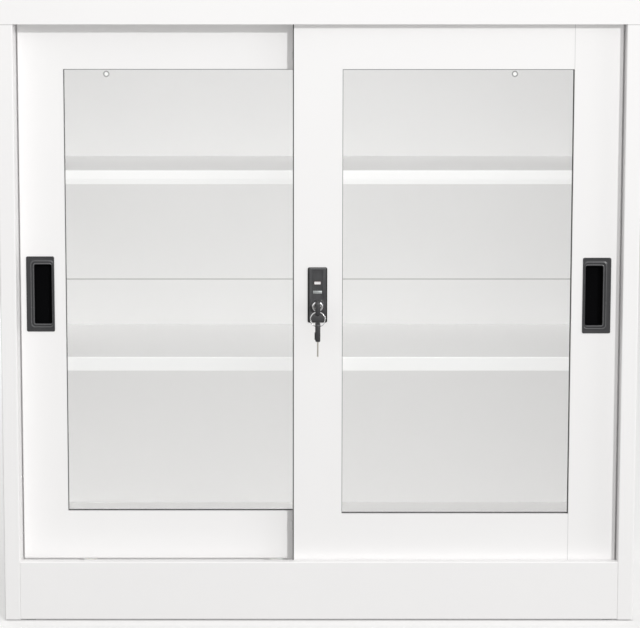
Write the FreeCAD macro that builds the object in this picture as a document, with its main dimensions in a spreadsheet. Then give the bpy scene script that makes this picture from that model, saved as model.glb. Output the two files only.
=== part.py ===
# Sliding door cabinet of folded steel sheet, with two glazed doors that pass each other.
# Millimetres. X runs to the right, Y to the back, Z up. The origin is on the floor, at the
# centre of the cabinet's footprint. The doors are closed, the lock's plunger is out.
import FreeCAD, Part

import os

import Sketcher

SIZES = {
    # the case
    "width": 900,
    "height": 885,
    "depth": 400,
    "sheet": 0.8,
    "bend": 1.6,
    "foot_gap": 1.5,
    "post_width": 22.5,
    "post_depth": 58,
    "post_lip": 8,
    "rear_flange": 20,
    "base_flange": 30,
    "fascia_height": 35,
    "fascia_return": 12,
    "back_split": 434,
    "back_lap": 12,
    "fixing_spacing": 647,
    "fixing_shift": 8.5,
    "fixing_drop": 112,
    "fixing_hole": 6,
    "screw_head": 8,
    "screw_rise": 1.2,
    "screw_shank": 3.5,
    "screw_length": 6,
    "screw_pitch": 230,
    # floor, plinth and tracks
    "floor_height": 82,
    "sill_rise": 4,
    "sill_depth": 13.5,
    "track_depth": 12,
    "rail_width": 2,
    "rail_rise": 6,
    "track_wall": 1.2,
    "lip_rise": 9,
    "lip_height": 11,
    "glide_diameter": 24,
    "glide_inset": 14,
    "bolt_diameter": 8,
    "bolt_length": 22,
    # uprights, shelves and clips
    "upright_width": 30,
    "upright_rise": 10,
    "upright_inset": 60,
    "slot_pitch": 30,
    "first_slot": 27.5,
    "slot_seat": 3.5,
    "slot_height": 12,
    "slot_width": 4,
    "slot_play": 0.3,
    "shelf_setback": 62,
    "shelf_clearance": 1.2,
    "shelf_lip": 20,
    "shelf_return": 12,
    "upper_shelf_slot": 17,
    "lower_shelf_slot": 8,
    "rib_width": 60,
    "rib_rise": 14,
    "rib_flange": 14,
    "clip_width": 18,
    "clip_reach": 14,
    "clip_drop": 12,
    "clip_thickness": 1.5,
    # doors
    "front_door_setback": 16,
    "door_thickness": 15,
    "door_gap": 3,
    "door_head_gap": 1.5,
    "door_rail": 70,
    "closing_gap": 2,
    "left_overlap": 33.5,
    "right_overlap": 37.5,
    "left_outer_stile": 64,
    "left_meeting_stile": 70,
    "right_meeting_stile": 70,
    "right_outer_stile": 68,
    "seam_step": 2,
    "glazing_lip": 5,
    "glass_thickness": 4,
    "glass_bite": 10,
    "gasket_wall": 0.6,
    "gasket_show": 0.8,
    # rollers and guides
    "roller_radius": 10,
    "rolling_radius": 8.5,
    "roller_width": 6,
    "axle_radius": 2,
    "axle_play": 0.1,
    "roller_rise": 2,
    "roller_inset": 95,
    "housing_length": 34,
    "housing_height": 22,
    "roller_room": 0.7,
    "axle_end": 1.5,
    "guide_length": 40,
    "guide_neck": 30,
    "guide_neck_width": 8,
    "guide_height": 20,
    "guide_head_gap": 4,
    "guide_play": 0.5,
    "buffer_height": 12,
    "buffer_width": 7,
    "buffer_rise": 1.7,
    "buffer_inset": 51.5,
    # flush pulls
    "pull_width": 40,
    "pull_height": 108,
    "pull_centre": 468,
    "pull_rise": 1.5,
    "pull_margin": 12,
    "pull_inner_margin": 4,
    "pull_depth": 10.5,
    "pull_wall": 1.6,
    "pull_play": 0.3,
    "pull_corner": 3,
    "pull_groove": 1.2,
    "pull_groove_depth": 1,
    "pull_first_groove": 6.6,
    "pull_second_groove": 10.5,
    "pull_window_gap": 15.7,
    # lock and keys
    "lock_width": 27.6,
    "lock_plate_height": 79,
    "lock_plate_rise": 2.5,
    "lock_corner": 2.5,
    "inlay_thickness": 0.5,
    "lock_axis_height": 453.4,
    "lock_axis_drop": 15.6,
    "lock_body_width": 20,
    "lock_body_height": 44,
    "lock_panel_width": 14.2,
    "lock_panel_height": 42.6,
    "lock_panel_depth": 0.8,
    "lock_panel_rise": 14.3,
    "state_width": 10,
    "state_height": 5,
    "state_rise": 17.2,
    "strip_width": 12.6,
    "strip_height": 4.2,
    "strip_rise": 4,
    "lock_screw_radius": 1.5,
    "lock_screw_length": 8,
    "lock_screw_offset": 14,
    "barrel_diameter": 15.5,
    "barrel_play": 0.3,
    "push_travel": 7,
    "pressed_rise": 1,
    "barrel_length": 21,
    "lock_bolt_diameter": 8,
    "lock_bolt_reach": 4,
    "strike_hole": 11,
    "strike_width": 30,
    "strike_height": 40,
    "strike_thickness": 2,
    "plug_diameter": 8,
    "plug_play": 0.15,
    "plug_length": 20,
    "keyway_play": 0.1,
    "key_gap": 3,
    "key_head_length": 26,
    "key_head_height": 20,
    "key_head_thickness": 7,
    "key_blade_length": 22,
    "key_blade_height": 7,
    "key_blade_thickness": 2,
    "key_corner": 3,
    "key_slot_inset": 6,
    "key_slot_width": 4.6,
    "key_slot_length": 12.8,
    "key_slot_flare": 2.6,
    "ring_radius": 10.3,
    "ring_wire": 0.8,
    "ring_seat": 0.9,
}

document = FreeCAD.newDocument("SlidingDoorCabinet")
sheet = document.addObject("Spreadsheet::Sheet", "Sizes")
for row, (name, number) in enumerate(SIZES.items(), start=1):
    sheet.set(f"A{row}", name)
    sheet.set(f"B{row}", str(number))
    sheet.setAlias(f"B{row}", name)
document.recompute()

# Places that several pieces share, each worked out from the sheet's cells.
S = "Sizes."
# The frame's origin is under the middle of the whole: the key stands out further in front than
# the screw heads do behind, so the case's own middle lies a little behind the origin.
KEY_REACH = (
    f"({S}lock_plate_rise + {S}pressed_rise + {S}push_travel + {S}key_gap + {S}key_head_length"
    f" - {S}key_slot_inset + {S}key_head_height / 2 - {S}front_door_setback)"
)
MIDDLE = f"(({KEY_REACH} - {S}screw_rise) / 2)"
FRONT = f"({MIDDLE} - {S}depth / 2)"
BACK = f"({MIDDLE} + {S}depth / 2)"
SIDE = f"({S}width / 2)"
WALL = f"({S}width / 2 - {S}sheet)"
POST = f"({S}width / 2 - {S}post_width)"
POST_BACK = f"({FRONT} + {S}post_depth)"
CASE_TOP = f"({S}height - {S}fascia_height)"
UNDER_TOP = f"({S}height - {S}sheet)"
BACK_FACE = f"({BACK} - 2 * {S}sheet)"
SILL_BACK = f"({FRONT} + {S}sill_depth)"
TROUGH = f"({S}floor_height - {S}track_depth)"
RAIL_TOP = f"({TROUGH} + {S}rail_rise)"
SILL_TOP = f"({S}floor_height + {S}sill_rise)"
LIP_BOTTOM = f"({CASE_TOP} + {S}lip_rise)"
TRACK_WEB = f"({LIP_BOTTOM} + {S}lip_height)"
FLOOR_FRONT = f"({POST_BACK} + 0.5 * {S}sheet)"
FRONT_DOOR = f"({FRONT} + {S}front_door_setback)"
REAR_DOOR = f"({FRONT_DOOR} + {S}door_thickness + {S}door_gap)"
DOOR_PITCH = f"({S}door_thickness + {S}door_gap)"
FRONT_LANE = f"({FRONT_DOOR} + {S}door_thickness / 2)"
REAR_LANE = f"({REAR_DOOR} + {S}door_thickness / 2)"
UPRIGHT_FACE = f"({WALL} - {S}upright_rise)"
AXLE_HEIGHT = f"({RAIL_TOP} + {S}rolling_radius)"
DOOR_BOTTOM = f"({AXLE_HEIGHT} - {S}roller_rise)"
DOOR_TOP = f"({LIP_BOTTOM} - {S}door_head_gap)"
WINDOW_BOTTOM = f"({DOOR_BOTTOM} + {S}door_rail)"
WINDOW_TOP = f"({DOOR_TOP} - {S}door_rail)"
SHELF_END = f"({UPRIGHT_FACE} - {S}shelf_clearance)"
SHELF_FRONT = f"({FRONT} + {S}shelf_setback)"
SHELF_BACK = f"({BACK_FACE} - {S}shelf_clearance)"

SIDE_SCREW_X = f"({SIDE} - {S}rear_flange / 2)"
SIDE_SCREW_HEIGHTS = [
    f"({S}back_split + {step} * {S}screw_pitch)" for step in (-1.5, -0.5, 0.5, 1.5)
]
TOP_SCREW_HEIGHT = f"({S}height - {S}fascia_height / 2)"
TOP_SCREW_PLACES = [f"({step} * {S}screw_pitch)" for step in (-1, 0, 1)]
GLIDE_X = f"({POST} - {S}glide_inset)"
FRONT_GLIDE = f"({FRONT} + {S}base_flange / 2)"
REAR_GLIDE = f"({BACK_FACE} - {S}base_flange / 2)"
FRONT_UPRIGHT = f"({SHELF_FRONT} + {S}upright_inset)"
REAR_UPRIGHT = f"({SHELF_BACK} - {S}upright_inset)"
ROLLER_HALF = f"({S}roller_radius + {S}roller_room)"
ROLLER_SLOT_HALF = f"({S}roller_width / 2 + {S}roller_room)"
AXLE_HALF = f"({S}door_thickness / 2 - {S}sheet - {S}axle_end)"

# The doors: outer edges, window edges and the seam beside the end stile.
DOORS = {
    "left": {
        "face": REAR_DOOR,
        "lane": REAR_LANE,
        "x0": f"({S}closing_gap - {POST})",
        "x1": f"{S}left_overlap",
        "window_x0": f"({S}closing_gap - {POST} + {S}left_outer_stile)",
        "window_x1": f"({S}left_overlap - {S}left_meeting_stile)",
        "seam": f"({S}left_overlap - {S}left_meeting_stile + {S}seam_step)",
    },
    "right": {
        "face": FRONT_DOOR,
        "lane": FRONT_LANE,
        "x0": f"(-{S}right_overlap)",
        "x1": f"({POST} - {S}closing_gap)",
        "window_x0": f"({S}right_meeting_stile - {S}right_overlap)",
        "window_x1": f"({POST} - {S}closing_gap - {S}right_outer_stile)",
        "seam": f"({POST} - {S}closing_gap - {S}right_outer_stile + {S}seam_step)",
    },
}

# The lock sits in the middle of the right door's meeting stile, the key in its barrel.
LOCK_X = f"({S}right_meeting_stile / 2 - {S}right_overlap)"
LOCK_Z = f"{S}lock_axis_height"
PLATE_CENTRE = f"({LOCK_Z} + {S}lock_axis_drop)"
PLATE_FRONT = f"({FRONT_DOOR} - {S}lock_plate_rise)"
BARREL_FRONT = f"({PLATE_FRONT} - {S}pressed_rise - {S}push_travel)"
BARREL_BACK = f"({BARREL_FRONT} + {S}barrel_length)"
KEY_BACK = f"({BARREL_FRONT} - {S}key_gap)"
KEY_FRONT = f"({KEY_BACK} - {S}key_head_length)"
RING_Y = f"({KEY_FRONT} + {S}key_slot_inset)"
RING_TOP = f"({LOCK_Z} - {S}key_slot_length / 2 + {S}ring_wire + {S}ring_seat)"
RING_CENTRE = f"({RING_TOP} - {S}ring_radius)"
RING_LOW = f"({RING_TOP} - 2 * {S}ring_radius)"
SPARE_TOP = (
    f"({RING_LOW} + {S}ring_wire + {S}ring_seat + {S}key_slot_inset - {S}key_slot_width / 2)"
)
SPARE_SHOULDER = f"({SPARE_TOP} - {S}key_head_length)"

pieces = []


def value(expression):
    """The number that an expression over the sheet stands for now."""
    return float(sheet.evalExpression(expression))


# Helpers for bodies, sketches and features --------------------------------------------------


def new_body(label):
    """An empty body. Its label is the piece's name."""
    body = document.addObject("PartDesign::Body", "Body_" + label)
    body.Label = label
    return body


def origin_feature(body, role):
    """One of the body's own origin planes or axes."""
    return next(f for f in body.Origin.OriginFeatures if f.Role == role)


def new_sketch(body, plane, level="0"):
    """A sketch on an origin plane of the body, raised along the plane's normal."""
    sketch = body.newObject("Sketcher::SketchObject", "Sketch_" + body.Label)
    sketch.AttachmentSupport = (origin_feature(body, plane + "_Plane"), [""])
    sketch.MapMode = "FlatFace"
    sketch.setExpression("AttachmentOffset.Base.z", level)
    return sketch


def pin_point(sketch, geometry, position, place):
    """Ties one point of a sketch's geometry to two expressions."""
    for kind, expression in zip(("DistanceX", "DistanceY"), place):
        number = value(expression)
        constraint = Sketcher.Constraint(kind, -1, 1, geometry, position, number)
        index = sketch.addConstraint(constraint)
        sketch.setExpression(f"Constraints[{index}]", expression)


def draw_loop(sketch, corners):
    """A closed run of straight lines through the corners, given as pairs of expressions."""
    points = [FreeCAD.Vector(value(x), value(y), 0) for x, y in corners]
    first = sketch.GeometryCount
    count = len(points)
    for index, point in enumerate(points):
        line = Part.LineSegment(point, points[(index + 1) % count])
        sketch.addGeometry(line, False)
    for index in range(count):
        here = first + index
        after = first + (index + 1) % count
        sketch.addConstraint(Sketcher.Constraint("Coincident", here, 2, after, 1))
    for index, place in enumerate(corners):
        pin_point(sketch, first + index, 1, place)


def rectangle(x0, x1, y0, y1):
    """The corners of a rectangle between two pairs of expressions."""
    return [(x0, y0), (x1, y0), (x1, y1), (x0, y1)]


def draw_circle(sketch, x, y, radius):
    """A circle whose centre and radius are expressions."""
    centre = FreeCAD.Vector(value(x), value(y), 0)
    circle = Part.Circle(centre, FreeCAD.Vector(0, 0, 1), value(radius))
    geometry = sketch.addGeometry(circle, False)
    pin_point(sketch, geometry, 3, (x, y))
    constraint = Sketcher.Constraint("Radius", geometry, value(radius))
    index = sketch.addConstraint(constraint)
    sketch.setExpression(f"Constraints[{index}]", radius)


def pad(body, sketch, length, reverse=False):
    """Solid material along the sketch's normal, or against it."""
    feature = body.newObject("PartDesign::Pad", "Pad_" + body.Label)
    feature.Profile = sketch
    feature.setExpression("Length", length)
    feature.Reversed = reverse
    body.Tip = feature
    document.recompute()
    return feature


def pocket(body, sketch, length, reverse=False):
    """A cut against the sketch's normal, or along it when reversed. It must remove something."""
    before = body.Shape.Volume
    feature = body.newObject("PartDesign::Pocket", "Pocket_" + body.Label)
    feature.Profile = sketch
    feature.setExpression("Length", length)
    feature.Reversed = reverse
    body.Tip = feature
    document.recompute()
    if not body.Shape.Volume < before - 1e-6:
        raise RuntimeError(f"a pocket of {body.Label} cuts nothing")
    return feature


def drill(body, plane, level, places, radius, length, reverse=False):
    """Round holes through a sheet, at pairs of expressions."""
    sketch = new_sketch(body, plane, level)
    for x, y in places:
        draw_circle(sketch, x, y, radius)
    return pocket(body, sketch, length, reverse)


def fold_edges(feature, sketch, corners):
    """Names of the pad's edges that rise from the sketch's corners."""
    wanted = [(value(x), value(y)) for x, y in corners]
    into_sketch = sketch.Placement.inverse()
    names = []
    for number, edge in enumerate(feature.Shape.Edges, start=1):
        ends = [into_sketch.multVec(vertex.Point) for vertex in edge.Vertexes]
        if len(ends) != 2 or abs(ends[0].z - ends[1].z) < 1e-6:
            continue
        for x, y in wanted:
            if all(abs(end.x - x) < 1e-4 and abs(end.y - y) < 1e-4 for end in ends):
                names.append(f"Edge{number}")
    return names


def round_edges(body, feature, names, radius):
    """A fillet along the named edges."""
    fillet = body.newObject("PartDesign::Fillet", "Fillet_" + body.Label)
    fillet.Base = (feature, names)
    fillet.setExpression("Radius", radius)
    body.Tip = fillet
    document.recompute()
    return fillet


def finish(body):
    """Notes a finished piece."""
    document.recompute()
    pieces.append(body)
    return body


def folded_strip(label, plane, corners, start, length, outer_folds=(), inner_folds=()):
    """A piece of bent sheet with one section all along, its folds rounded inside and out."""
    body = new_body(label)
    sketch = new_sketch(body, plane, start)
    draw_loop(sketch, corners)
    feature = pad(body, sketch, length)
    folds = fold_edges(feature, sketch, [corners[i] for i in outer_folds])
    if folds:
        feature = round_edges(body, feature, folds, f"{S}bend")
    folds = fold_edges(feature, sketch, [corners[i] for i in inner_folds])
    if folds:
        feature = round_edges(body, feature, folds, f"{S}bend - {S}sheet")
    return body


def face_at(shape, axis, level):
    """The name of the flat face that lies at a level along X, Y or Z."""
    for number, face in enumerate(shape.Faces, start=1):
        box = face.BoundBox
        low, high = ((box.XMin, box.XMax), (box.YMin, box.YMax), (box.ZMin, box.ZMax))[axis]
        if abs(low - level) < 1e-4 and abs(high - level) < 1e-4:
            return f"Face{number}"
    raise RuntimeError(f"no face at {level}")


def tray(label, x, y, bottom, top):
    """An upside-down tray of bent sheet: a plate with four flanges, open below."""
    body = new_body(label)
    sketch = new_sketch(body, "XY", bottom)
    corners = rectangle(x[0], x[1], y[0], y[1])
    draw_loop(sketch, corners)
    solid = pad(body, sketch, f"{top} - {bottom}")
    names = fold_edges(solid, sketch, corners)
    upper = value(top)
    for number, edge in enumerate(solid.Shape.Edges, start=1):
        if abs(edge.BoundBox.ZMin - upper) < 1e-4:
            names.append(f"Edge{number}")
    folded = round_edges(body, solid, names, f"{S}bend")
    hollow = body.newObject("PartDesign::Thickness", "Hollow_" + label)
    hollow.Base = (folded, [face_at(folded.Shape, 2, value(bottom))])
    hollow.setExpression("Value", f"{S}sheet")
    hollow.Reversed = True
    hollow.Join = 1
    body.Tip = hollow
    document.recompute()
    return body


def block(label, x, y, z):
    """A Part box between three pairs of expressions."""
    box = document.addObject("Part::Box", "Box_" + label)
    for prop, (low, high) in zip(("Length", "Width", "Height"), (x, y, z)):
        box.setExpression(prop, f"{high} - ({low})")
    for prop, (low, high) in zip("xyz", (x, y, z)):
        box.setExpression(f"Placement.Base.{prop}", low)
    return box


def rod(label, radius, length, place, axis):
    """A Part cylinder from a place along +X, +Y or +Z."""
    cylinder = document.addObject("Part::Cylinder", "Rod_" + label)
    cylinder.setExpression("Radius", radius)
    cylinder.setExpression("Height", length)
    turned = {"x": (0, 1, 0, 90), "y": (1, 0, 0, -90), "z": (0, 0, 1, 0)}[axis]
    rotation = FreeCAD.Rotation(FreeCAD.Vector(*turned[:3]), turned[3])
    cylinder.Placement = FreeCAD.Placement(FreeCAD.Vector(0, 0, 0), rotation)
    for prop, expression in zip("xyz", place):
        cylinder.setExpression(f"Placement.Base.{prop}", expression)
    return cylinder


def join(label, parts):
    """One solid, or a group of separate ones, from several."""
    fused = document.addObject("Part::MultiFuse", "Join_" + label)
    fused.Shapes = parts
    fused.Refine = True
    return fused


def group(label, parts):
    """Separate solids under one name."""
    together = document.addObject("Part::Compound", "Group_" + label)
    together.Links = parts
    return together


def take_away(label, base, tool):
    """The base without the tool, which must meet it."""
    cut = document.addObject("Part::Cut", "Cut_" + label)
    cut.Base = base
    cut.Tool = tool
    document.recompute()
    if not cut.Shape.Volume < base.Shape.Volume - 1e-6:
        raise RuntimeError(f"a cut of {label} removes nothing")
    return cut


def named(label, thing):
    """Gives a finished Part object its piece's name."""
    thing.Label = label
    return finish(thing)


# The case ------------------------------------------------------------------------------------


def make_top_panel():
    """The cap: a top plate with a fascia, skirts, and a lip turned back under the fascia."""
    body = tray("top_panel", (f"-{SIDE}", SIDE), (FRONT, BACK), CASE_TOP, f"{S}height")
    sketch = new_sketch(body, "XY", CASE_TOP)
    behind_fascia = f"{FRONT} + {S}sheet / 2"
    lip_back = f"{FRONT} + {S}fascia_return"
    draw_loop(sketch, rectangle(f"-{WALL}", WALL, behind_fascia, lip_back))
    pad(body, sketch, f"{S}sheet")
    places = [(x, TOP_SCREW_HEIGHT) for x in TOP_SCREW_PLACES]
    level = f"-({BACK} - {S}sheet)"
    drill(body, "XZ", level, places, f"{S}screw_shank / 2", f"{S}sheet")
    return finish(body)


def hat_section(label, y_centre, ceiling, half_length):
    """A stiffening rib of hat section, its two flanges welded up against a plate."""
    half = f"{S}rib_width / 2"
    crown = f"({S}rib_width / 2 - {S}rib_flange)"
    flange = f"{ceiling} - {S}sheet"
    bottom = f"{ceiling} - {S}rib_rise"
    corners = [
        (f"{y_centre} - {half}", ceiling),
        (f"{y_centre} - {half}", flange),
        (f"{y_centre} - {crown}", flange),
        (f"{y_centre} - {crown}", bottom),
        (f"{y_centre} + {crown}", bottom),
        (f"{y_centre} + {crown}", flange),
        (f"{y_centre} + {half}", flange),
        (f"{y_centre} + {half}", ceiling),
        (f"{y_centre} + {crown} - {S}sheet", ceiling),
        (f"{y_centre} + {crown} - {S}sheet", f"{bottom} + {S}sheet"),
        (f"{y_centre} - {crown} + {S}sheet", f"{bottom} + {S}sheet"),
        (f"{y_centre} - {crown} + {S}sheet", ceiling),
    ]
    length = f"2 * ({half_length})"
    start = f"-({half_length})"
    return finish(folded_strip(label, "YZ", corners, start, length, (3, 4), (9, 10)))


def make_side_panel(label, side):
    """A side with its front post folded from the same sheet, a rear flange and a base flange."""
    outer = f"{side} * {SIDE}"
    inner = f"{side} * {WALL}"
    post = f"{side} * {POST}"
    post_inner = f"{side} * ({POST} + {S}sheet)"
    lip_end = f"{side} * ({POST} + {S}post_lip)"
    flange_end = f"{side} * ({SIDE} - {S}rear_flange)"
    corners = [
        (outer, BACK),
        (outer, FRONT),
        (post, FRONT),
        (post, POST_BACK),
        (lip_end, POST_BACK),
        (lip_end, f"{POST_BACK} - {S}sheet"),
        (post_inner, f"{POST_BACK} - {S}sheet"),
        (post_inner, f"{FRONT} + {S}sheet"),
        (inner, f"{FRONT} + {S}sheet"),
        (inner, f"{BACK} - {S}sheet"),
        (flange_end, f"{BACK} - {S}sheet"),
        (flange_end, BACK),
    ]
    length = f"{CASE_TOP} - {S}foot_gap"
    outer_folds = (0, 1, 2, 3)
    inner_folds = (6, 7, 8, 9)
    body = folded_strip(label, "XY", corners, f"{S}foot_gap", length, outer_folds, inner_folds)
    base = new_sketch(body, "XY", f"{S}foot_gap")
    base_end = f"{side} * ({SIDE} - {S}base_flange)"
    inside_wall = f"{side} * ({WALL} + {S}sheet / 2)"
    rail_front = f"{BACK_FACE} - {S}base_flange"
    draw_loop(base, rectangle(inside_wall, base_end, POST_BACK, rail_front))
    pad(body, base, f"{S}sheet")
    places = [(f"{side} * {SIDE_SCREW_X}", z) for z in SIDE_SCREW_HEIGHTS]
    level = f"-({BACK} - {S}sheet)"
    drill(body, "XZ", level, places, f"{S}screw_shank / 2", f"{S}sheet")
    return finish(body)


def make_back_panels():
    """Two flat sheets one above the other. The lower one's top edge laps behind the upper.

    The pair of wall-fixing holes sits a little off the middle, to the left.
    """
    edge = f"({WALL} - {S}sheet)"
    lap = f"({SIDE} - {S}rear_flange - {S}sheet)"
    level = f"-({BACK_FACE})"
    sides = (-1, 1)
    upper = new_body("upper_back_panel")
    sketch = new_sketch(upper, "XZ", level)
    top = f"{UNDER_TOP} - {S}bend"
    draw_loop(sketch, rectangle(f"-{edge}", edge, f"{S}back_split", top))
    pad(upper, sketch, f"{S}sheet", True)
    height = f"{S}height - {S}fixing_drop"
    fixings = [(f"{side} * {S}fixing_spacing / 2 - {S}fixing_shift", height) for side in sides]
    drill(upper, "XZ", level, fixings, f"{S}fixing_hole / 2", f"{S}sheet")
    screws = [(f"{side} * {SIDE_SCREW_X}", z) for side in sides for z in SIDE_SCREW_HEIGHTS[2:]]
    screws += [(x, TOP_SCREW_HEIGHT) for x in TOP_SCREW_PLACES]
    drill(upper, "XZ", level, screws, f"{S}screw_shank / 2", f"{S}sheet")
    finish(upper)

    lower = new_body("lower_back_panel")
    sketch = new_sketch(lower, "XZ", level)
    bottom = f"{S}foot_gap + {S}bend"
    draw_loop(sketch, rectangle(f"-{edge}", edge, bottom, f"{S}back_split"))
    pad(lower, sketch, f"{S}sheet", True)
    behind = new_sketch(lower, "XZ", f"-({BACK_FACE} + {S}sheet)")
    low = f"{S}back_split - {S}back_lap"
    high = f"{S}back_split + {S}back_lap"
    draw_loop(behind, rectangle(f"-{lap}", lap, low, high))
    pad(lower, behind, f"{S}sheet", True)
    screws = [(f"{side} * {SIDE_SCREW_X}", z) for side in sides for z in SIDE_SCREW_HEIGHTS[:2]]
    drill(lower, "XZ", level, screws, f"{S}screw_shank / 2", f"{S}sheet")
    finish(lower)


def make_floor_panel():
    """The inside floor: a shallow tray that stands on the track and on the rear rail."""
    edge = f"({WALL} - {S}sheet)"
    x = (f"-{edge}", edge)
    y = (FLOOR_FRONT, f"{BACK_FACE}")
    return finish(tray("floor_panel", x, y, TROUGH, f"{S}floor_height"))


def make_plinth():
    """The plinth: a bent sheet between the posts, with a sill on top and a foot below."""
    front_in = f"{FRONT} + {S}sheet"
    sill_under = f"{SILL_TOP} - {S}sheet"
    foot_top = f"{S}foot_gap + {S}sheet"
    foot_back = f"{FRONT} + {S}base_flange"
    corners = [
        (FRONT, SILL_TOP),
        (FRONT, f"{S}foot_gap"),
        (foot_back, f"{S}foot_gap"),
        (foot_back, foot_top),
        (front_in, foot_top),
        (front_in, sill_under),
        (f"{SILL_BACK} - {S}sheet", sill_under),
        (f"{SILL_BACK} - {S}sheet", TROUGH),
        (SILL_BACK, TROUGH),
        (SILL_BACK, SILL_TOP),
    ]
    length = f"2 * {POST}"
    body = folded_strip("plinth", "YZ", corners, f"-{POST}", length, (0, 1, 9), (4, 5, 6))
    places = [(f"{side} * {GLIDE_X}", FRONT_GLIDE) for side in (-1, 1)]
    drill(body, "XY", foot_top, places, f"{S}bolt_diameter / 2", f"{S}sheet")
    return finish(body)


def make_lower_track():
    """The lower track: a trough behind the sill with two raised rails for the rollers."""
    web_under = f"{TROUGH} - {S}track_wall"
    floor_under = f"{S}floor_height - {S}bend"
    corners = [
        (SILL_BACK, TROUGH),
        (f"{SILL_BACK} - {S}sheet", TROUGH),
        (f"{SILL_BACK} - {S}sheet", web_under),
        (FLOOR_FRONT, web_under),
        (FLOOR_FRONT, floor_under),
        (f"{FLOOR_FRONT} - {S}track_wall", floor_under),
        (f"{FLOOR_FRONT} - {S}track_wall", TROUGH),
    ]
    for lane in (REAR_LANE, FRONT_LANE):
        behind = f"{lane} + {S}rail_width / 2"
        before = f"{lane} - {S}rail_width / 2"
        corners += [
            (behind, TROUGH),
            (behind, RAIL_TOP),
            (before, RAIL_TOP),
            (before, TROUGH),
        ]
    return finish(folded_strip("lower_track", "YZ", corners, f"-{POST}", f"2 * {POST}"))


def make_upper_track():
    """The upper track: three lips under one web, hung from the top plate by its outer walls."""
    half = f"{S}track_wall / 2"
    lips = [f"({FRONT_LANE} + ({place}) * {DOOR_PITCH})" for place in (-0.5, 0.5, 1.5)]
    front = f"{lips[0]} - {half}"
    back = f"{lips[2]} + {half}"
    web_top = f"{TRACK_WEB} + {S}track_wall"
    corners = [
        (front, UNDER_TOP),
        (front, LIP_BOTTOM),
        (f"{lips[0]} + {half}", LIP_BOTTOM),
        (f"{lips[0]} + {half}", TRACK_WEB),
        (f"{lips[1]} - {half}", TRACK_WEB),
        (f"{lips[1]} - {half}", LIP_BOTTOM),
        (f"{lips[1]} + {half}", LIP_BOTTOM),
        (f"{lips[1]} + {half}", TRACK_WEB),
        (f"{lips[2]} - {half}", TRACK_WEB),
        (f"{lips[2]} - {half}", LIP_BOTTOM),
        (back, LIP_BOTTOM),
        (back, UNDER_TOP),
        (f"{lips[2]} - {half}", UNDER_TOP),
        (f"{lips[2]} - {half}", web_top),
        (f"{lips[0]} + {half}", web_top),
        (f"{lips[0]} + {half}", UNDER_TOP),
    ]
    return finish(folded_strip("upper_track", "YZ", corners, f"-{POST}", f"2 * {POST}"))


def make_rear_base_rail():
    """The rail under the floor's rear edge: a channel that opens to the front."""
    web = f"{BACK_FACE} - {S}sheet"
    tip = f"{BACK_FACE} - {S}base_flange"
    foot_top = f"{S}foot_gap + {S}sheet"
    head_under = f"{TROUGH} - {S}sheet"
    corners = [
        (BACK_FACE, TROUGH),
        (BACK_FACE, f"{S}foot_gap"),
        (tip, f"{S}foot_gap"),
        (tip, foot_top),
        (web, foot_top),
        (web, head_under),
        (tip, head_under),
        (tip, TROUGH),
    ]
    start = f"-({WALL} - {S}sheet)"
    length = f"2 * ({WALL} - {S}sheet)"
    body = folded_strip("rear_base_rail", "YZ", corners, start, length, (0, 1), (4, 5))
    places = [(f"{side} * {GLIDE_X}", REAR_GLIDE) for side in (-1, 1)]
    drill(body, "XY", foot_top, places, f"{S}bolt_diameter / 2", f"{S}sheet")
    return finish(body)


def make_upright(label, side, y_centre):
    """A slotted upright: a channel spot-welded to the side, from the floor to the top."""
    inner = f"{side} * {WALL}"
    face = f"{side} * {UPRIGHT_FACE}"
    face_in = f"{side} * ({UPRIGHT_FACE} + {S}sheet)"
    front = f"({y_centre} - {S}upright_width / 2)"
    back = f"({y_centre} + {S}upright_width / 2)"
    corners = [
        (inner, front),
        (face, front),
        (face, back),
        (inner, back),
        (inner, f"{back} - {S}sheet"),
        (face_in, f"{back} - {S}sheet"),
        (face_in, f"{front} + {S}sheet"),
        (inner, f"{front} + {S}sheet"),
    ]
    length = f"{UNDER_TOP} - {S}bend - {S}floor_height"
    body = folded_strip(label, "XY", corners, f"{S}floor_height", length, (1, 2), (5, 6))
    sketch = new_sketch(body, "YZ", face)
    low = f"{S}floor_height + {S}first_slot"
    half = f"{S}slot_width / 2"
    y0, y1 = f"{y_centre} - {half}", f"{y_centre} + {half}"
    draw_loop(sketch, rectangle(y0, y1, low, f"{low} + {S}slot_height"))
    slot = pocket(body, sketch, f"{S}sheet", side > 0)
    row = body.newObject("PartDesign::LinearPattern", "Slots_" + label)
    row.Originals = [slot]
    row.Direction = (origin_feature(body, "Z_Axis"), [""])
    row.Mode = "Spacing"
    row.setExpression("Offset", f"{S}slot_pitch")
    row.setExpression("Occurrences", f"floor(({length} - {S}first_slot) / {S}slot_pitch)")
    body.Tip = row
    return finish(body)


def make_shelf(name):
    """A shelf and its stiffener. It gives back the height of the shelf's underside."""
    slot = f"{S}floor_height + {S}first_slot + {S}{name}_shelf_slot * {S}slot_pitch"
    bottom = f"({slot} + {S}slot_seat)"
    top = f"({bottom} + {S}shelf_lip)"
    x = (f"-{SHELF_END}", SHELF_END)
    body = tray(f"{name}_shelf", x, (SHELF_FRONT, SHELF_BACK), bottom, top)
    sketch = new_sketch(body, "XY", bottom)
    lip_start = f"{SHELF_FRONT} + {S}sheet / 2"
    lip_end = f"{SHELF_FRONT} + {S}shelf_return"
    inside = f"({SHELF_END} - {S}sheet / 2)"
    draw_loop(sketch, rectangle(f"-{inside}", inside, lip_start, lip_end))
    pad(body, sketch, f"{S}sheet")
    finish(body)
    middle = f"(({SHELF_FRONT} + {SHELF_BACK}) / 2)"
    ceiling = f"({top} - {S}sheet)"
    hat_section(f"{name}_shelf_stiffener", middle, ceiling, f"{SHELF_END} - {S}bend")
    return bottom


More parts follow.
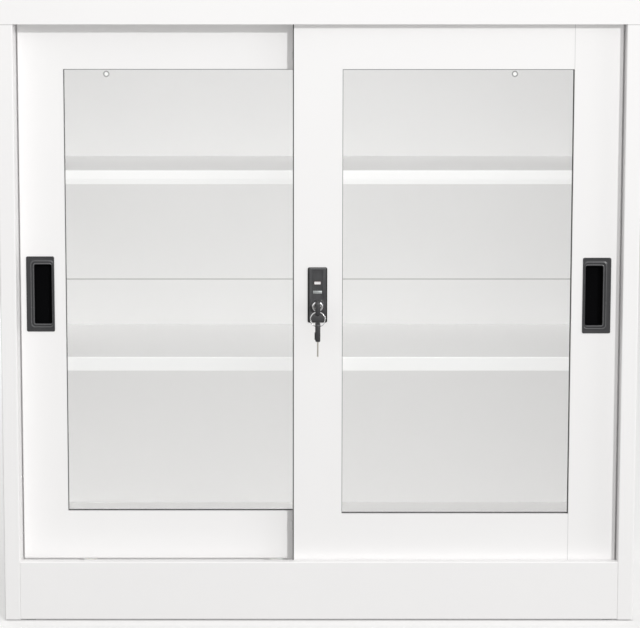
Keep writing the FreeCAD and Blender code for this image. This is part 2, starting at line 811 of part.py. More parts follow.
def shelf_clip(side, y_centre, bottom):
    """A bent clip: a tab under the shelf, a leg on the upright, a tongue through its slot."""
    half = f"{S}clip_width / 2"
    tongue = f"({S}slot_width / 2 - {S}slot_play)"
    leg_face = f"({UPRIGHT_FACE} - {S}clip_thickness)"
    hook_end = f"({UPRIGHT_FACE} + {S}sheet + {S}clip_thickness)"
    spans = [
        (f"({UPRIGHT_FACE} - {S}clip_reach)", UPRIGHT_FACE),
        (leg_face, UPRIGHT_FACE),
        (leg_face, hook_end),
    ]
    if side < 0:
        spans = [(f"-{far}", f"-{near}") for near, far in spans]
    across = (f"{y_centre} - {half}", f"{y_centre} + {half}")
    through = (f"{y_centre} - {tongue}", f"{y_centre} + {tongue}")
    tab = block("tab", spans[0], across, (f"{bottom} - {S}clip_thickness", bottom))
    leg = block("leg", spans[1], across, (f"{bottom} - {S}clip_drop", bottom))
    slot_low = f"{bottom} - {S}slot_seat + {S}slot_play"
    hook = block("hook", spans[2], through, (slot_low, bottom))
    return join("clip", [tab, leg, hook])


def make_levelling():
    """Four plastic glides under the base, on threaded bolts that go up through its flanges."""
    glides = []
    bolts = []
    for side in (-1, 1):
        x = f"{side} * {GLIDE_X}"
        for y in (FRONT_GLIDE, REAR_GLIDE):
            glides.append(rod("glide", f"{S}glide_diameter / 2", f"{S}foot_gap", (x, y, "0"), "z"))
            foot = (x, y, f"{S}foot_gap")
            bolts.append(rod("bolt", f"{S}bolt_diameter / 2", f"{S}bolt_length", foot, "z"))
    named("levelling_glides", group("glides", glides))
    named("levelling_bolts", group("bolts", bolts))


def make_back_screws():
    """Pan-head screws through the rear flanges and the cap's rear skirt."""
    places = [(f"{side} * {SIDE_SCREW_X}", z) for side in (-1, 1) for z in SIDE_SCREW_HEIGHTS]
    places += [(x, TOP_SCREW_HEIGHT) for x in TOP_SCREW_PLACES]
    screws = []
    for x, z in places:
        head = rod("head", f"{S}screw_head / 2", f"{S}screw_rise", (x, BACK, z), "y")
        tip = f"{BACK} - {S}screw_length"
        shank = rod("shank", f"{S}screw_shank / 2", f"{S}screw_length", (x, tip, z), "y")
        screws.append(join("screw", [head, shank]))
    named("back_panel_screws", group("screws", screws))


# The doors -----------------------------------------------------------------------------------


def face_sketch(body, door, depth):
    """A sketch parallel to the door's face, some way in from it."""
    return new_sketch(body, "XZ", f"-({door['face']} + {depth})")


def round_front(body, feature, door, sketch, corners, edge):
    """Rounds the folds around the face, all but the straight edge beside the seam."""
    names = fold_edges(feature, sketch, corners)
    face = value(door["face"])
    seam = value(edge)
    low, high = value(DOOR_BOTTOM), value(DOOR_TOP)
    for number, line in enumerate(feature.Shape.Edges, start=1):
        box = line.BoundBox
        on_face = abs(box.YMin - face) < 1e-4 and abs(box.YMax - face) < 1e-4
        rim = box.ZMax < low + 1e-4 or box.ZMin > high - 1e-4
        side = box.ZMin < low + 1e-4 and box.ZMax > high - 1e-4 and abs(box.XMin - seam) > 1e-4
        if on_face and (rim or side):
            names.append(f"Edge{number}")
    return round_edges(body, feature, names, f"{S}bend")


def door_openings(door):
    """The places along X of the rollers and guides of one door."""
    return (f"({door['x0']} + {S}roller_inset)", f"({door['x1']} - {S}roller_inset)")


def make_front_skin(name, door):
    """The face sheet: one stile and both rails, folded back all round and into the window."""
    body = new_body(f"{name}_door_front_skin")
    x0, seam, window_x0 = door["x0"], door["seam"], door["window_x0"]
    sketch = face_sketch(body, door, "0")
    corners = rectangle(x0, seam, DOOR_BOTTOM, DOOR_TOP)
    draw_loop(sketch, corners)
    solid = pad(body, sketch, f"{S}door_thickness", True)
    round_front(body, solid, door, sketch, [corners[0], corners[3]], seam)
    lip = f"{window_x0} - {S}sheet"
    low, high = f"{WINDOW_BOTTOM} - {S}sheet", f"{WINDOW_TOP} + {S}sheet"
    inside = new_sketch(body, "XZ", f"-({door['face']} + {S}door_thickness)")
    hollow = [
        (f"{x0} + {S}sheet", f"{DOOR_BOTTOM} + {S}sheet"),
        (seam, f"{DOOR_BOTTOM} + {S}sheet"),
        (seam, low),
        (lip, low),
        (lip, high),
        (seam, high),
        (seam, f"{DOOR_TOP} - {S}sheet"),
        (f"{x0} + {S}sheet", f"{DOOR_TOP} - {S}sheet"),
    ]
    draw_loop(inside, hollow)
    pocket(body, inside, f"{S}door_thickness - {S}sheet", True)
    window = face_sketch(body, door, "0")
    draw_loop(window, rectangle(window_x0, seam, WINDOW_BOTTOM, WINDOW_TOP))
    pocket(body, window, f"{S}door_thickness")
    trim = new_sketch(body, "XZ", f"-({door['face']} + {S}door_thickness)")
    draw_loop(trim, rectangle(lip, seam, low, high))
    pocket(body, trim, f"{S}door_thickness - {S}glazing_lip", True)
    lane = door["lane"]
    below = new_sketch(body, "XY", DOOR_BOTTOM)
    above = new_sketch(body, "XY", f"{DOOR_TOP} - {S}sheet")
    for x in door_openings(door):
        y0, y1 = f"{lane} - {AXLE_HALF} - {S}axle_play", f"{lane} + {AXLE_HALF} + {S}axle_play"
        draw_loop(below, rectangle(f"{x} - {ROLLER_HALF}", f"{x} + {ROLLER_HALF}", y0, y1))
        neck, half = f"{S}guide_neck / 2", f"{S}guide_neck_width / 2"
        y0, y1 = f"{lane} - {half}", f"{lane} + {half}"
        draw_loop(above, rectangle(f"{x} - {neck}", f"{x} + {neck}", y0, y1))
    pocket(body, below, f"{S}sheet", True)
    pocket(body, above, f"{S}sheet", True)
    return body


def make_end_stile(name, door):
    """The second stile, a folded sheet of its own that closes the window's open end."""
    body = new_body(f"{name}_door_end_stile")
    x1, seam, window_x1 = door["x1"], door["seam"], door["window_x1"]
    sketch = face_sketch(body, door, "0")
    corners = [
        (seam, DOOR_BOTTOM),
        (x1, DOOR_BOTTOM),
        (x1, DOOR_TOP),
        (seam, DOOR_TOP),
        (seam, WINDOW_TOP),
        (window_x1, WINDOW_TOP),
        (window_x1, WINDOW_BOTTOM),
        (seam, WINDOW_BOTTOM),
    ]
    draw_loop(sketch, corners)
    solid = pad(body, sketch, f"{S}door_thickness", True)
    round_front(body, solid, door, sketch, corners[1:3], seam)
    edge = f"{window_x1} + {S}sheet"
    inside = new_sketch(body, "XZ", f"-({door['face']} + {S}door_thickness)")
    hollow = [
        (seam, f"{DOOR_BOTTOM} + {S}sheet"),
        (f"{x1} - {S}sheet", f"{DOOR_BOTTOM} + {S}sheet"),
        (f"{x1} - {S}sheet", f"{DOOR_TOP} - {S}sheet"),
        (seam, f"{DOOR_TOP} - {S}sheet"),
        (seam, WINDOW_TOP),
        (edge, WINDOW_TOP),
        (edge, WINDOW_BOTTOM),
        (seam, WINDOW_BOTTOM),
    ]
    draw_loop(inside, hollow)
    pocket(body, inside, f"{S}door_thickness - {S}sheet", True)
    trim = new_sketch(body, "XZ", f"-({door['face']} + {S}door_thickness)")
    draw_loop(trim, rectangle(window_x1, edge, WINDOW_BOTTOM, WINDOW_TOP))
    pocket(body, trim, f"{S}door_thickness - {S}glazing_lip", True)
    return body


def make_back_frame(name, door):
    """The sheet that closes the door behind, folded forward against the glazing."""
    body = new_body(f"{name}_door_back_frame")
    x0, x1 = door["window_x0"], door["window_x1"]
    sketch = face_sketch(body, door, f"{S}door_thickness - {S}sheet")
    outer_x0, outer_x1 = f"{door['x0']} + {S}sheet", f"{door['x1']} - {S}sheet"
    outer_z0, outer_z1 = f"{DOOR_BOTTOM} + {S}sheet", f"{DOOR_TOP} - {S}sheet"
    draw_loop(sketch, rectangle(outer_x0, outer_x1, outer_z0, outer_z1))
    draw_loop(sketch, rectangle(x0, x1, WINDOW_BOTTOM, WINDOW_TOP))
    pad(body, sketch, f"{S}sheet", True)
    pack = f"({S}glazing_lip + {S}glass_thickness + 2 * {S}gasket_wall)"
    fold = face_sketch(body, door, pack)
    low, high = f"{WINDOW_BOTTOM} - {S}sheet", f"{WINDOW_TOP} + {S}sheet"
    draw_loop(fold, rectangle(f"{x0} - {S}sheet", f"{x1} + {S}sheet", low, high))
    draw_loop(fold, rectangle(x0, x1, WINDOW_BOTTOM, WINDOW_TOP))
    pad(body, fold, f"{S}door_thickness - {S}sheet / 2 - {pack}", True)
    return body


def around_window(door, margin):
    """The ranges along X and Z of the window widened by a margin."""
    x = (f"{door['window_x0']} - {margin}", f"{door['window_x1']} + {margin}")
    z = (f"{WINDOW_BOTTOM} - {margin}", f"{WINDOW_TOP} + {margin}")
    return x, z


def make_glazing(name, door):
    """The pane, and the rubber channel that runs around its edge between the two sheets."""
    front = f"({door['face']} + {S}glazing_lip)"
    glass_front = f"({front} + {S}gasket_wall)"
    glass_back = f"({glass_front} + {S}glass_thickness)"
    back = f"({glass_back} + {S}gasket_wall)"
    x, z = around_window(door, f"{S}glass_bite")
    named(f"{name}_door_glass", block("glass", x, (glass_front, glass_back), z))
    room = block("glass_room", x, (glass_front, glass_back), z)
    outer_x, outer_z = around_window(door, f"({S}glass_bite + {S}gasket_wall)")
    outer = block("gasket", outer_x, (front, back), outer_z)
    inner_x, inner_z = around_window(door, f"(-{S}gasket_show)")
    hole = block("gasket_hole", inner_x, (front, back), inner_z)
    ring = take_away("gasket_ring", outer, hole)
    named(f"{name}_door_gasket", take_away("gasket_groove", ring, room))


def pull_ranges(name, door):
    """Where the flush pull lies: its plate, its pocket, and the cup around the pocket."""
    side = -1 if name == "left" else 1
    near = door["window_x0"] if side < 0 else door["window_x1"]
    inner = f"({near} + {side} * {S}pull_window_gap)"
    outer = f"({inner} + {side} * {S}pull_width)"
    pocket_inner = f"({inner} + {side} * {S}pull_inner_margin)"
    pocket_outer = f"({outer} - {side} * {S}pull_margin)"
    cup_inner = f"({pocket_inner} - {side} * {S}pull_wall)"
    cup_outer = f"({pocket_outer} + {side} * {S}pull_wall)"
    half = f"({S}pull_height / 2)"
    pocket_half = f"({half} - {S}pull_margin)"
    cup_half = f"({pocket_half} + {S}pull_wall)"
    return {
        "side": side,
        "outer": outer,
        "plate": (inner, outer, half),
        "pocket": (pocket_inner, pocket_outer, pocket_half),
        "cup": (cup_inner, cup_outer, cup_half),
    }


def upright_rectangle(span, centre):
    """A rectangle from its two sides and half its height about a centre."""
    inner, outer, half = span
    return rectangle(inner, outer, f"{centre} - {half}", f"{centre} + {half}")


def make_pull(name, door):
    """The moulded flush pull: a plate on the face with a finger pocket let into the stile."""
    ranges = pull_ranges(name, door)
    centre = f"{S}pull_centre"
    body = new_body(f"{name}_door_handle")
    sketch = face_sketch(body, door, f"(-{S}pull_rise)")
    corners = upright_rectangle(ranges["plate"], centre)
    draw_loop(sketch, corners)
    plate = pad(body, sketch, f"{S}pull_rise", True)
    round_edges(body, plate, fold_edges(plate, sketch, corners), f"{S}pull_corner")
    cup = face_sketch(body, door, f"(-{S}pull_rise / 2)")
    draw_loop(cup, upright_rectangle(ranges["cup"], centre))
    pad(body, cup, f"{S}pull_rise / 2 + {S}pull_depth + {S}pull_wall", True)
    hollow = face_sketch(body, door, f"(-{S}pull_rise)")
    draw_loop(hollow, upright_rectangle(ranges["pocket"], centre))
    pocket(body, hollow, f"{S}pull_rise + {S}pull_depth")
    grooves = face_sketch(body, door, f"(-{S}pull_rise)")
    side = ranges["side"]
    for place in ("pull_first_groove", "pull_second_groove"):
        start = f"({ranges['outer']} - {side} * {S}{place})"
        end = f"({start} + {side} * {S}pull_groove)"
        draw_loop(grooves, upright_rectangle((start, end, ranges["pocket"][2]), centre))
    pocket(body, grooves, f"{S}pull_groove_depth")
    return finish(body)


def cut_for_pull(body, name, door):
    """The hole in the stile that the pull's cup goes through."""
    inner, outer, half = pull_ranges(name, door)["cup"]
    side = -1 if name == "left" else 1
    play = f"{S}pull_play"
    span = (f"{inner} - {side} * {play}", f"{outer} + {side} * {play}", f"({half} + {play})")
    sketch = face_sketch(body, door, "0")
    draw_loop(sketch, upright_rectangle(span, f"{S}pull_centre"))
    pocket(body, sketch, f"{S}sheet")


def make_roller_gear(name, door):
    """Nylon housings in the bottom rail, a steel axle in each, and the grooved rollers."""
    lane = door["lane"]
    cavity = (f"{door['face']} + {S}sheet", f"{door['face']} + {S}door_thickness - {S}sheet")
    bottom = f"({DOOR_BOTTOM} + {S}sheet)"
    housings = []
    axles = []
    for side, x in zip(("left", "right"), door_openings(door)):
        half = f"{S}housing_length / 2"
        span = (f"{x} - {half}", f"{x} + {half}")
        shell = block("housing", span, cavity, (bottom, f"{bottom} + {S}housing_height"))
        span = (f"{x} - {ROLLER_HALF}", f"{x} + {ROLLER_HALF}")
        across = (f"{lane} - {ROLLER_SLOT_HALF}", f"{lane} + {ROLLER_SLOT_HALF}")
        room = block("roller_room", span, across, (DOOR_BOTTOM, f"{AXLE_HEIGHT} + {ROLLER_HALF}"))
        start = f"{cavity[0]} + {S}axle_end"
        length = f"2 * {AXLE_HALF}"
        place = (x, start, AXLE_HEIGHT)
        bore = rod("axle_bore", f"{S}axle_radius", length, place, "y")
        housings.append(take_away("housing", take_away("housing", shell, room), bore))
        axles.append(rod("axle", f"{S}axle_radius", length, place, "y"))
        make_roller(f"{name}_door_{side}_roller", x, lane)
    named(f"{name}_door_roller_housings", group("housings", housings))
    named(f"{name}_door_axles", group("axles", axles))


def make_roller(label, x, lane):
    """A nylon roller with a groove that rides on the rail."""
    body = new_body(label)
    sketch = new_sketch(body, "YZ", x)
    half, groove = f"{S}roller_width / 2", f"({S}rail_width / 2 + {S}roller_room / 2)"
    bore = f"({AXLE_HEIGHT} + {S}axle_radius + {S}axle_play)"
    rim = f"({AXLE_HEIGHT} + {S}roller_radius)"
    tread = f"({AXLE_HEIGHT} + {S}rolling_radius)"
    corners = [
        (f"{lane} - {half}", bore),
        (f"{lane} + {half}", bore),
        (f"{lane} + {half}", rim),
        (f"{lane} + {groove} + {S}roller_room", rim),
        (f"{lane} + {groove}", tread),
        (f"{lane} - {groove}", tread),
        (f"{lane} - {groove} - {S}roller_room", rim),
        (f"{lane} - {half}", rim),
    ]
    draw_loop(sketch, corners)
    axis = sketch.addGeometry(
        Part.LineSegment(
            FreeCAD.Vector(value(lane) - 1, value(AXLE_HEIGHT), 0),
            FreeCAD.Vector(value(lane) + 1, value(AXLE_HEIGHT), 0),
        ),
        True,
    )
    pin_point(sketch, axis, 1, (f"{lane} - 1", AXLE_HEIGHT))
    pin_point(sketch, axis, 2, (f"{lane} + 1", AXLE_HEIGHT))
    turned = body.newObject("PartDesign::Revolution", "Turn_" + label)
    turned.Profile = sketch
    turned.ReferenceAxis = (sketch, ["Axis0"])
    turned.Angle = 360
    body.Tip = turned
    finish(body)


def make_top_guides(name, door):
    """Nylon guides in the top rail, each with a tongue that runs between the track's lips."""
    lane = door["lane"]
    cavity = (f"{door['face']} + {S}sheet", f"{door['face']} + {S}door_thickness - {S}sheet")
    under = f"({DOOR_TOP} - {S}sheet)"
    tongue_half = f"(({DOOR_PITCH} - {S}track_wall) / 2 - {S}guide_play)"
    guides = []
    for x in door_openings(door):
        length, neck = f"{S}guide_length / 2", f"{S}guide_neck / 2"
        span = (f"{x} - {length}", f"{x} + {length}")
        base = block("guide", span, cavity, (f"{under} - {S}guide_height", under))
        span = (f"{x} - {neck}", f"{x} + {neck}")
        half = f"{S}guide_neck_width / 2"
        stem = block("neck", span, (f"{lane} - {half}", f"{lane} + {half}"), (under, DOOR_TOP))
        across = (f"{lane} - {tongue_half}", f"{lane} + {tongue_half}")
        tongue_top = f"{TRACK_WEB} - {S}guide_head_gap"
        tongue = block("tongue", span, across, (DOOR_TOP, tongue_top))
        guides.append(join("guide", [base, stem, tongue]))
    named(f"{name}_door_top_guides", group("guides", guides))


def make_buffers(name, door):
    """White rubber stops on the door's leading edge, for the far post."""
    side = 1 if name == "left" else -1
    edge = door["x1"] if side > 0 else door["x0"]
    tip = f"{edge} + {side} * {S}buffer_rise"
    span = (edge, tip) if side > 0 else (tip, edge)
    lane = door["lane"]
    across = (f"{lane} - {S}buffer_width / 2", f"{lane} + {S}buffer_width / 2")
    buffers = []
    for centre in (f"({DOOR_BOTTOM} + {S}buffer_inset)", f"({DOOR_TOP} - {S}buffer_inset)"):
        half = f"{S}buffer_height / 2"
        buffers.append(block("buffer", span, across, (f"{centre} - {half}", f"{centre} + {half}")))
    named(f"{name}_door_buffers", group("buffers", buffers))


# The lock and its keys -----------------------------------------------------------------------


def lock_cut(body, door, depth, radius, length):
    """A round hole on the lock's axis."""
    sketch = face_sketch(body, door, depth)
    draw_circle(sketch, LOCK_X, LOCK_Z, radius)
    pocket(body, sketch, length)


def around_lock(centre, width, height):
    """A rectangle centred on the lock's middle line."""
    x0, x1 = f"{LOCK_X} - {width} / 2", f"{LOCK_X} + {width} / 2"
    return rectangle(x0, x1, f"{centre} - {height} / 2", f"{centre} + {height} / 2")


def lock_screw_places():
    """The two screws that hold the lock from the back, above and below its barrel."""
    return [(LOCK_X, f"({LOCK_Z} + {step} * {S}lock_screw_offset)") for step in (-1, 1)]


def make_lock(door):
    """The black lock: a plate on the face, a block through the stile, and the push barrel."""
    bore = f"({S}barrel_diameter / 2 + {S}barrel_play)"
    block_depth = f"({S}door_thickness - {S}sheet)"
    body = new_body("lock_housing")
    sketch = face_sketch(body, door, f"(-{S}lock_plate_rise)")
    corners = around_lock(PLATE_CENTRE, f"{S}lock_width", f"{S}lock_plate_height")
    draw_loop(sketch, corners)
    plate = pad(body, sketch, f"{S}lock_plate_rise", True)
    round_edges(body, plate, fold_edges(plate, sketch, corners), f"{S}lock_corner")
    rear = face_sketch(body, door, f"(-{S}lock_plate_rise / 2)")
    draw_loop(rear, around_lock(LOCK_Z, f"{S}lock_body_width", f"{S}lock_body_height"))
    pad(body, rear, f"{S}lock_plate_rise / 2 + {block_depth}", True)
    panel = face_sketch(body, door, f"(-{S}lock_plate_rise)")
    panel_centre = f"({PLATE_CENTRE} + {S}lock_panel_rise)"
    draw_loop(panel, around_lock(panel_centre, f"{S}lock_panel_width", f"{S}lock_panel_height"))
    pocket(body, panel, f"{S}lock_panel_depth")
    length = f"{S}lock_plate_rise + {block_depth}"
    lock_cut(body, door, f"(-{S}lock_plate_rise)", bore, length)
    level = f"-({door['face']} + {block_depth} - {S}lock_screw_length)"
    places = lock_screw_places()
    drill(body, "XZ", level, places, f"{S}lock_screw_radius", f"{S}lock_screw_length")
    finish(body)

    inlays = []
    floor = f"({PLATE_FRONT} + {S}lock_panel_depth)"
    x = {
        "state": (f"{LOCK_X} - {S}state_width / 2", f"{LOCK_X} + {S}state_width / 2"),
        "strip": (f"{LOCK_X} - {S}strip_width / 2", f"{LOCK_X} + {S}strip_width / 2"),
    }
    for inlay in ("state", "strip"):
        centre = f"({PLATE_CENTRE} + {S}{inlay}_rise)"
        z = (f"{centre} - {S}{inlay}_height / 2", f"{centre} + {S}{inlay}_height / 2")
        inlays.append(block(inlay, x[inlay], (f"{floor} - {S}inlay_thickness", floor), z))
    named("lock_state_window", group("inlays", inlays))

    screws = []
    back = f"({door['face']} + {S}door_thickness)"
    for x, z in places:
        tip = f"{door['face']} + {block_depth} - {S}lock_screw_length"
        length = f"{S}lock_screw_length + {S}sheet"
        shank = rod("lock_shank", f"{S}lock_screw_radius", length, (x, tip, z), "y")
        head = rod("lock_head", f"2 * {S}lock_screw_radius", f"{S}screw_rise", (x, back, z), "y")
        screws.append(join("lock_screw", [shank, head]))
    named("lock_screws", group("lock_screws", screws))

    place = (LOCK_X, BARREL_FRONT, LOCK_Z)
    barrel = rod("barrel", f"{S}barrel_diameter / 2", f"{S}barrel_length", place, "y")
    plug_room = f"{S}plug_diameter / 2 + {S}plug_play"
    hollow = rod("plug_room", plug_room, f"{S}plug_length", place, "y")
    named("lock_barrel", take_away("barrel", barrel, hollow))
    place = (LOCK_X, BARREL_BACK, LOCK_Z)
    bolt_radius = f"{S}lock_bolt_diameter / 2"
    named("lock_bolt", rod("lock_bolt", bolt_radius, f"{S}lock_bolt_reach", place, "y"))


def make_strike(door):
    """The strike plate inside the left door's meeting stile, behind a hole in its face."""
    body = new_body("strike_plate")
    sketch = face_sketch(body, door, f"{S}sheet")
    draw_loop(sketch, around_lock(LOCK_Z, f"{S}strike_width", f"{S}strike_height"))
    pad(body, sketch, f"{S}strike_thickness", True)
    lock_cut(body, door, f"{S}sheet", f"{S}strike_hole / 2", f"{S}strike_thickness")
    finish(body)


def chamfer_slot(body, feature, corners, sketch):
    """Flares a slot on both faces of the piece it goes through."""
    into_sketch = sketch.Placement.inverse()
    xs = [value(x) for x, _ in corners]
    ys = [value(y) for _, y in corners]
    names = []
    for number, edge in enumerate(feature.Shape.Edges, start=1):
        ends = [into_sketch.multVec(vertex.Point) for vertex in edge.Vertexes]
        flat = abs(ends[0].z - ends[1].z) < 1e-6
        inside = all(
            min(xs) - 1e-4 < end.x < max(xs) + 1e-4 and min(ys) - 1e-4 < end.y < max(ys) + 1e-4
            for end in ends
        )
        if flat and inside:
            names.append(f"Edge{number}")
    chamfer = body.newObject("PartDesign::Chamfer", "Flare_" + body.Label)
    chamfer.Base = (feature, names)
    chamfer.setExpression("Size", f"{S}key_slot_flare")
    body.Tip = chamfer
    document.recompute()


def make_key_head(label, y, z, slot_y, slot_z):
    """A moulded key head, edge-on to the front, with a flared slot for the ring."""
    body = new_body(label)
    sketch = new_sketch(body, "YZ", f"{LOCK_X} - {S}key_head_thickness / 2")
    corners = rectangle(y[0], y[1], z[0], z[1])
    draw_loop(sketch, corners)
    solid = pad(body, sketch, f"{S}key_head_thickness")
    round_edges(body, solid, fold_edges(solid, sketch, corners), f"{S}key_corner")
    slot = new_sketch(body, "YZ", f"{LOCK_X} - {S}key_head_thickness / 2")
    slot_corners = rectangle(slot_y[0], slot_y[1], slot_z[0], slot_z[1])
    draw_loop(slot, slot_corners)
    cut = pocket(body, slot, f"{S}key_head_thickness", True)
    chamfer_slot(body, cut, slot_corners, slot)
    finish(body)


def make_keys():
    """The plug with its key, the ring that hangs from the key, and the spare on the ring."""
    place = (LOCK_X, BARREL_FRONT, LOCK_Z)
    plug = rod("plug", f"{S}plug_diameter / 2", f"{S}plug_length", place, "y")
    way_half = f"({S}key_blade_thickness / 2 + {S}keyway_play)"
    way_high = f"({S}key_blade_height / 2 + {S}keyway_play)"
    way_x = (f"{LOCK_X} - {way_half}", f"{LOCK_X} + {way_half}")
    way_z = (f"{LOCK_Z} - {way_high}", f"{LOCK_Z} + {way_high}")
    way = block("keyway", way_x, (BARREL_FRONT, f"{BARREL_FRONT} + {S}plug_length"), way_z)
    named("key_plug", take_away("plug", plug, way))

    thick = f"{S}key_blade_thickness / 2"
    blade_x = (f"{LOCK_X} - {thick}", f"{LOCK_X} + {thick}")
    half = f"{S}key_blade_height / 2"
    blade_z = (f"{LOCK_Z} - {half}", f"{LOCK_Z} + {half}")
    blade_y = (KEY_BACK, f"{KEY_BACK} + {S}key_blade_length")
    named("key_blade", block("blade", blade_x, blade_y, blade_z))
    high, slot_half = f"{S}key_head_height / 2", f"{S}key_slot_length / 2"
    slot_wide = f"{S}key_slot_width / 2"
    slot_y = (f"{RING_Y} - {slot_wide}", f"{RING_Y} + {slot_wide}")
    slot_z = (f"{LOCK_Z} - {slot_half}", f"{LOCK_Z} + {slot_half}")
    head_z = (f"{LOCK_Z} - {high}", f"{LOCK_Z} + {high}")
    make_key_head("key_head", (KEY_FRONT, KEY_BACK), head_z, slot_y, slot_z)

    ring = document.addObject("Part::Torus", "Ring")
    ring.setExpression("Radius1", f"{S}ring_radius")
    ring.setExpression("Radius2", f"{S}ring_wire")
    turned = FreeCAD.Rotation(FreeCAD.Vector(1, 0, 0), 90)
    ring.Placement = FreeCAD.Placement(FreeCAD.Vector(0, 0, 0), turned)
    for prop, expression in zip("xyz", (LOCK_X, RING_Y, RING_CENTRE)):
        ring.setExpression(f"Placement.Base.{prop}", expression)
    named("key_ring", ring)

    centre = f"({SPARE_TOP} - {S}key_slot_inset)"
    slot_z = (f"{centre} - {slot_wide}", f"{centre} + {slot_wide}")
    slot_y = (f"{RING_Y} - {slot_half}", f"{RING_Y} + {slot_half}")
    head_y = (f"{RING_Y} - {high}", f"{RING_Y} + {high}")
    make_key_head("spare_key_head", head_y, (SPARE_SHOULDER, SPARE_TOP), slot_y, slot_z)
    blade_y = (f"{RING_Y} - {half}", f"{RING_Y} + {half}")
    blade_z = (f"{SPARE_SHOULDER} - {S}key_blade_length", SPARE_SHOULDER)
    named("spare_key_blade", block("spare_blade", blade_x, blade_y, blade_z))


# Assembly ------------------------------------------------------------------------------------


def make_case():
    """Every piece of the cabinet that stands still."""
    make_top_panel()
    hat_section("top_stiffener", MIDDLE, UNDER_TOP, f"{UPRIGHT_FACE} - {S}bend")
    make_upper_track()
    for name, side in (("left", -1), ("right", 1)):
        make_side_panel(f"{name}_side_panel", side)
        make_upright(f"front_{name}_upright", side, FRONT_UPRIGHT)
        make_upright(f"rear_{name}_upright", side, REAR_UPRIGHT)
    make_back_panels()
    make_floor_panel()
    make_plinth()
    make_lower_track()
    make_rear_base_rail()
    make_levelling()
    make_back_screws()
    clips = []
    for name in ("upper", "lower"):
        bottom = make_shelf(name)
        for side in (-1, 1):
            for y in (FRONT_UPRIGHT, REAR_UPRIGHT):
                clips.append(shelf_clip(side, y, bottom))
    named("shelf_clips", group("clips", clips))


def make_door(name):
    """One glazed door with its running gear."""
    door = DOORS[name]
    skin = make_front_skin(name, door)
    stile = make_end_stile(name, door)
    back = make_back_frame(name, door)
    if name == "left":
        cut_for_pull(skin, name, door)
        lock_cut(stile, door, "0", f"{S}strike_hole / 2", f"{S}sheet")
        make_strike(door)
    else:
        cut_for_pull(stile, name, door)
        sketch = face_sketch(skin, door, "0")
        width = f"({S}lock_body_width + 2 * {S}pull_play)"
        height = f"({S}lock_body_height + 2 * {S}pull_play)"
        draw_loop(sketch, around_lock(LOCK_Z, width, height))
        pocket(skin, sketch, f"{S}sheet")
        depth = f"({S}door_thickness - {S}sheet)"
        hole = f"({S}barrel_diameter / 2 + 2 * {S}barrel_play)"
        lock_cut(back, door, depth, hole, f"{S}sheet")
        level = f"-({door['face']} + {depth})"
        drill(back, "XZ", level, lock_screw_places(), f"{S}lock_screw_radius", f"{S}sheet")
        make_lock(door)
        make_keys()
    for body in (skin, stile, back):
        finish(body)
    make_glazing(name, door)
    make_pull(name, door)
    make_roller_gear(name, door)
    make_top_guides(name, door)
    make_buffers(name, door)


def check_and_write():
    """Every object must be sound before any piece is written."""
    document.recompute()
    failed = [thing.Name for thing in document.Objects if {"Invalid", "Error"} & set(thing.State)]
    for piece in pieces:
        shape = piece.Shape
        if shape.isNull() or not shape.isValid() or not shape.Solids:
            failed.append(piece.Label)
    if failed:
        raise RuntimeError("not sound: " + ", ".join(failed))
    os.makedirs("parts", exist_ok=True)
    for piece in pieces:
        piece.Shape.exportStep(os.path.join("parts", piece.Label + ".step"))
        box = piece.Shape.BoundBox
        print(f"{piece.Label}: {len(piece.Shape.Solids)} solids, {piece.Shape.Volume:.0f} mm3,", end=" ")
        print(f"{box.XMin:.1f}..{box.XMax:.1f}, {box.YMin:.1f}..{box.YMax:.1f},", end=" ")
        print(f"{box.ZMin:.1f}..{box.ZMax:.1f}")


make_case()
for door_name in DOORS:
    make_door(door_name)
check_and_write()
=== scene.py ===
import math

import bmesh
import bpy
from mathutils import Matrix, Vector


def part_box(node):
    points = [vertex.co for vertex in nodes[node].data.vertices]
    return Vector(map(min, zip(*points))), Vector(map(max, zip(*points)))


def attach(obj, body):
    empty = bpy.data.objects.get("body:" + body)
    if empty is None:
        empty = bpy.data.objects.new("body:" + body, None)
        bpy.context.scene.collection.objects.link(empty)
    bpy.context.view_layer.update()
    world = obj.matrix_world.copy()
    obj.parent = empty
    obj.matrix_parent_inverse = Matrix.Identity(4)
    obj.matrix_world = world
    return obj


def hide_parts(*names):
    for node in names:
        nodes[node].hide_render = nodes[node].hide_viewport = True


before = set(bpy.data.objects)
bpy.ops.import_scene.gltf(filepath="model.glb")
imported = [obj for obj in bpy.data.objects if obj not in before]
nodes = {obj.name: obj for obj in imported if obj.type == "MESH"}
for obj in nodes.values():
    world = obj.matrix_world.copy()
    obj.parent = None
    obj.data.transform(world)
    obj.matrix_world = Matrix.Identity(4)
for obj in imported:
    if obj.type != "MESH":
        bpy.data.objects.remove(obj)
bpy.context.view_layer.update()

scene = bpy.context.scene


# Studio ---------------------------------------------------------------------------------------
# A pale floor in a white tent. A key lamp above and to the right and a near, high fill light the
# outside, a frontal lamp and a high fill the inside, and soft boxes the back and the side. The
# camera stands a little below the top. The floor returns less light than it shows.

